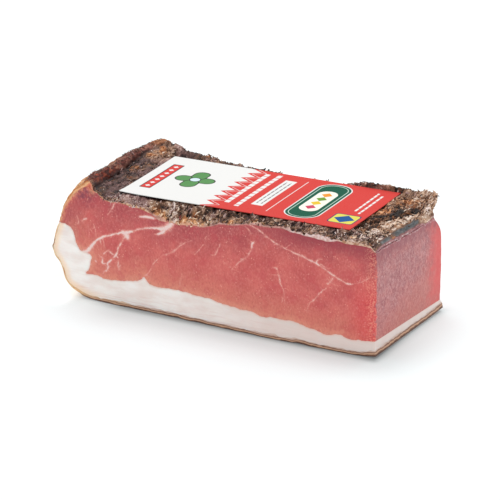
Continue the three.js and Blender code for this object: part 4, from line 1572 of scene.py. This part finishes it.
def card_material():
    """Printed card: a white field and a red one with a zigzag border, plain bars, a green plaque,
    a four-leaf figure and a small square."""
    f = Finish("printed_card")
    u, v, _ = f.local_places(CARD_MIDDLE, (CARD_ROLL, 0, CARD_YAW))
    white, red = srgb(224, 224, 222), srgb(206, 66, 61)
    green, dark = srgb(19, 86, 66), srgb(46, 44, 46)
    border_u = -25
    zigzag = f.maths("PINGPONG", f.plus(v, CARD_WIDTH / 2 / MM), 5.28)
    border = f.minus(f.minus(u, border_u), f.times(zigzag, 1.6))
    ink = f.blend(f.rise(border, -0.15, 0.15), white, red)
    ink = f.blend(f.between(border, 3.4, 4.2), ink, white)

    # Rows of plain dashes, a white bar with two grey ones, and a thin line
    dashes = f.rise(f.maths("PINGPONG", v, 3.1), 0.3, 0.6)
    rows = ((-12.6, -9, -30, 36), (-3.6, -0.2, -34, 38), (73, 74.6, -6, 34), (77.4, 79, -10, 30))
    for low, high, start, end in rows:
        ink = f.blend(f.times(f.panel(u, v, low, high, start, end), dashes), ink, white)
    ink = f.blend(f.panel(u, v, 5.5, 14, -26, 30), ink, white)
    for low, high in ((7.6, 8.5), (11, 11.9)):
        row = f.panel(u, v, low, high, -22, 26)
        ink = f.tint(ink, (120, 116, 116), row, dashes)
    ink = f.blend(f.panel(u, v, 20.4, 21, -34, 34), ink, white)

    # Green plaque with a cream field and a row of small diamonds
    middle_u, middle_v = 43.5, 1
    plaque = f.rounded(u, v, (middle_u, middle_v), (13, 37), 12)
    ink = f.paint(ink, plaque, white)
    ink = f.paint(ink, f.plus(plaque, 0.9), green)
    ink = f.tint(ink, (190, 214, 200), f.between(plaque, -3.3, -2.7))
    ink = f.paint(ink, f.rounded(u, v, (middle_u, middle_v), (7, 22), 7), srgb(236, 234, 222))
    tints = ((-12, (196, 70, 96)), (-3, (222, 186, 54)), (6, (110, 150, 50)), (15, (226, 146, 50)))
    for place, tint in tints:
        ink = f.paint(ink, f.diamond(u, v, (middle_u, place), (4, 4.4)), srgb(*tint))

    # Square with a diamond
    square = (74, -24)
    ink = f.paint(ink, f.rounded(u, v, square, (9.4, 9.4), 2.4), srgb(50, 56, 108))
    ink = f.paint(ink, f.rounded(u, v, square, (8.6, 8.6), 2), srgb(216, 208, 92))
    ink = f.paint(ink, f.diamond(u, v, square, (7.6, 7.6)), srgb(27, 84, 146))

    # Four green leaves round a pale middle, and a red bar with a row of white diamonds
    figure_u, figure_v = -51, 3
    for away_u, away_v in ((7, 0), (-7, 0), (0, 9), (0, -9)):
        half = (8, 6) if away_v == 0 else (6, 8)
        leaf = f.rounded(u, v, (figure_u + away_u, figure_v + away_v), half, 5.8)
        ink = f.paint(ink, leaf, dark)
        ink = f.paint(ink, f.plus(leaf, 0.8), srgb(88, 140, 84))
    middle = f.rounded(u, v, (figure_u, figure_v), (4.2, 4.2), 4.2)
    ink = f.paint(ink, middle, dark)
    ink = f.paint(ink, f.plus(middle, 0.7), srgb(206, 226, 234))
    bar_u = -75
    bar = f.rounded(u, v, (bar_u, 0), (4.2, 27), 0.8)
    ink = f.paint(ink, bar, dark)
    ink = f.paint(ink, f.plus(bar, 0.7), red)
    step = f.maths("PINGPONG", v, 3.6)
    beads = f.minus(f.plus(f.maths("ABSOLUTE", f.minus(u, bar_u)), step), 2)
    ink = f.blend(f.times(f.rise(beads, 0.15, -0.15), f.between(v, -24, 24)), ink, white)

    ink = f.tint(ink, (190, 184, 180), f.cloud(0.6, 3, 0.3, 0.7, 0, 0.05))
    f.set(Base_Color=ink, Roughness=f.cloud(14, 2, 0.3, 0.7, 0.5, 0.6))
    f.set(Specular_IOR_Level=0.01)
    f.bump(f.noise(11, 2), 0.2 * MM, 0.4)
    return f.material


FLOOR_SIZE = 8
# Where the shadow that is painted on the floor lies, and how dark it is
FOOT_MIDDLE = (110, 50)  # of the block on the floor, in mm
FOOT_HALF = (122, 52.4)  # half of its length and depth
SHADE_REACH = 40  # mm from the block's foot
FLOOR_SHADE = (  # over the share of that reach
    (0, 0.46), (0.04, 0.57), (0.12, 0.77), (0.2, 0.835), (0.3, 0.855), (0.42, 0.89), (0.6, 0.94), (1, 1),
)
WORLD_STRENGTH = 0.9
LAMP_PLACE = (-0.15, 0.55, 1.4)
LAMP_SIZE = 1.6
LAMP_POWER = 12


def build_stage():
    """A pale floor that glows a little and carries a painted shadow close to the block, even light from
    all round, and a soft lamp above and behind."""
    bpy.ops.object.select_all(action="DESELECT")
    bpy.ops.mesh.primitive_plane_add(size=FLOOR_SIZE, location=(0, 0, -0.1 * MM))
    floor = bpy.context.object
    floor.name = "floor"
    f = Finish("pale_floor")
    x, y, _ = f.block_places()
    # Painted shadow on the floor close to the block's foot, none at its left end and fainter towards the
    # back
    away = f.rounded(x, y, FOOT_MIDDLE, FOOT_HALF, 0)
    shade = f.ramp(f.maths("DIVIDE", away, SHADE_REACH), FLOOR_SHADE)
    strength = f.times(f.rise(x, 4, 44), f.rise(y, 0, 70, 1, 0.35))
    shade = f.blend(strength, (1, 1, 1, 1), shade)
    # Painted light: the floor glows a little all over, and more beside the block's left end, which lightens
    # its shade there
    lift = f.times(f.rise(x, 4, -8), f.rise(away, 24, 2))
    # The floor's cool tint offsets the pink light that the meat throws on it
    f.set(Base_Color=f.blend(shade, (0, 0, 0, 1), srgb(214, 221, 222)))
    f.set(Emission_Color=shade, Emission_Strength=f.plus(f.times(lift, 0.25), 0.25))
    f.set(Roughness=0.9, Specular_IOR_Level=0.0)
    floor.data.materials.append(f.material)
    world = bpy.context.scene.world or bpy.data.worlds.new("world")
    bpy.context.scene.world = world
    world.use_nodes = True
    background = world.node_tree.nodes["Background"]
    background.inputs["Color"].default_value = (1, 1, 1, 1)
    background.inputs["Strength"].default_value = WORLD_STRENGTH
    bpy.context.scene.view_settings.view_transform = "Standard"
    data = bpy.data.lights.new("lamp_above", "AREA")
    data.size = LAMP_SIZE
    data.energy = LAMP_POWER
    lamp = bpy.data.objects.new("lamp_above", data)
    lamp.location = LAMP_PLACE
    to_block = Vector((0, 0, 40 * MM)) - Vector(LAMP_PLACE)
    lamp.rotation_euler = to_block.to_track_quat("-Z", "Y").to_euler()
    bpy.context.collection.objects.link(lamp)


# Camera, as fitted to the edges of the block in the photo
CAMERA_AZIMUTH = math.radians(29)
CAMERA_ELEVATION = math.radians(20.8)
CAMERA_DISTANCE = 2.6667
CAMERA_AIM = Vector((0.0375, -0.0640, 0.0658))
CAMERA_LENS = 288  # mm, on a sensor 36 mm wide


def add_camera():
    data = bpy.data.cameras.new("camera")
    data.lens = CAMERA_LENS
    data.clip_end = 20
    camera = bpy.data.objects.new("camera", data)
    towards = Vector((
        math.sin(CAMERA_AZIMUTH) * math.cos(CAMERA_ELEVATION),
        -math.cos(CAMERA_AZIMUTH) * math.cos(CAMERA_ELEVATION),
        math.sin(CAMERA_ELEVATION),
    ))
    camera.location = CAMERA_AIM + towards * CAMERA_DISTANCE
    camera.rotation_euler = (math.pi / 2 - CAMERA_ELEVATION, 0, CAMERA_AZIMUTH)
    bpy.context.collection.objects.link(camera)
    bpy.context.scene.camera = camera


build_block()
make_card()
build_stage()
add_camera()
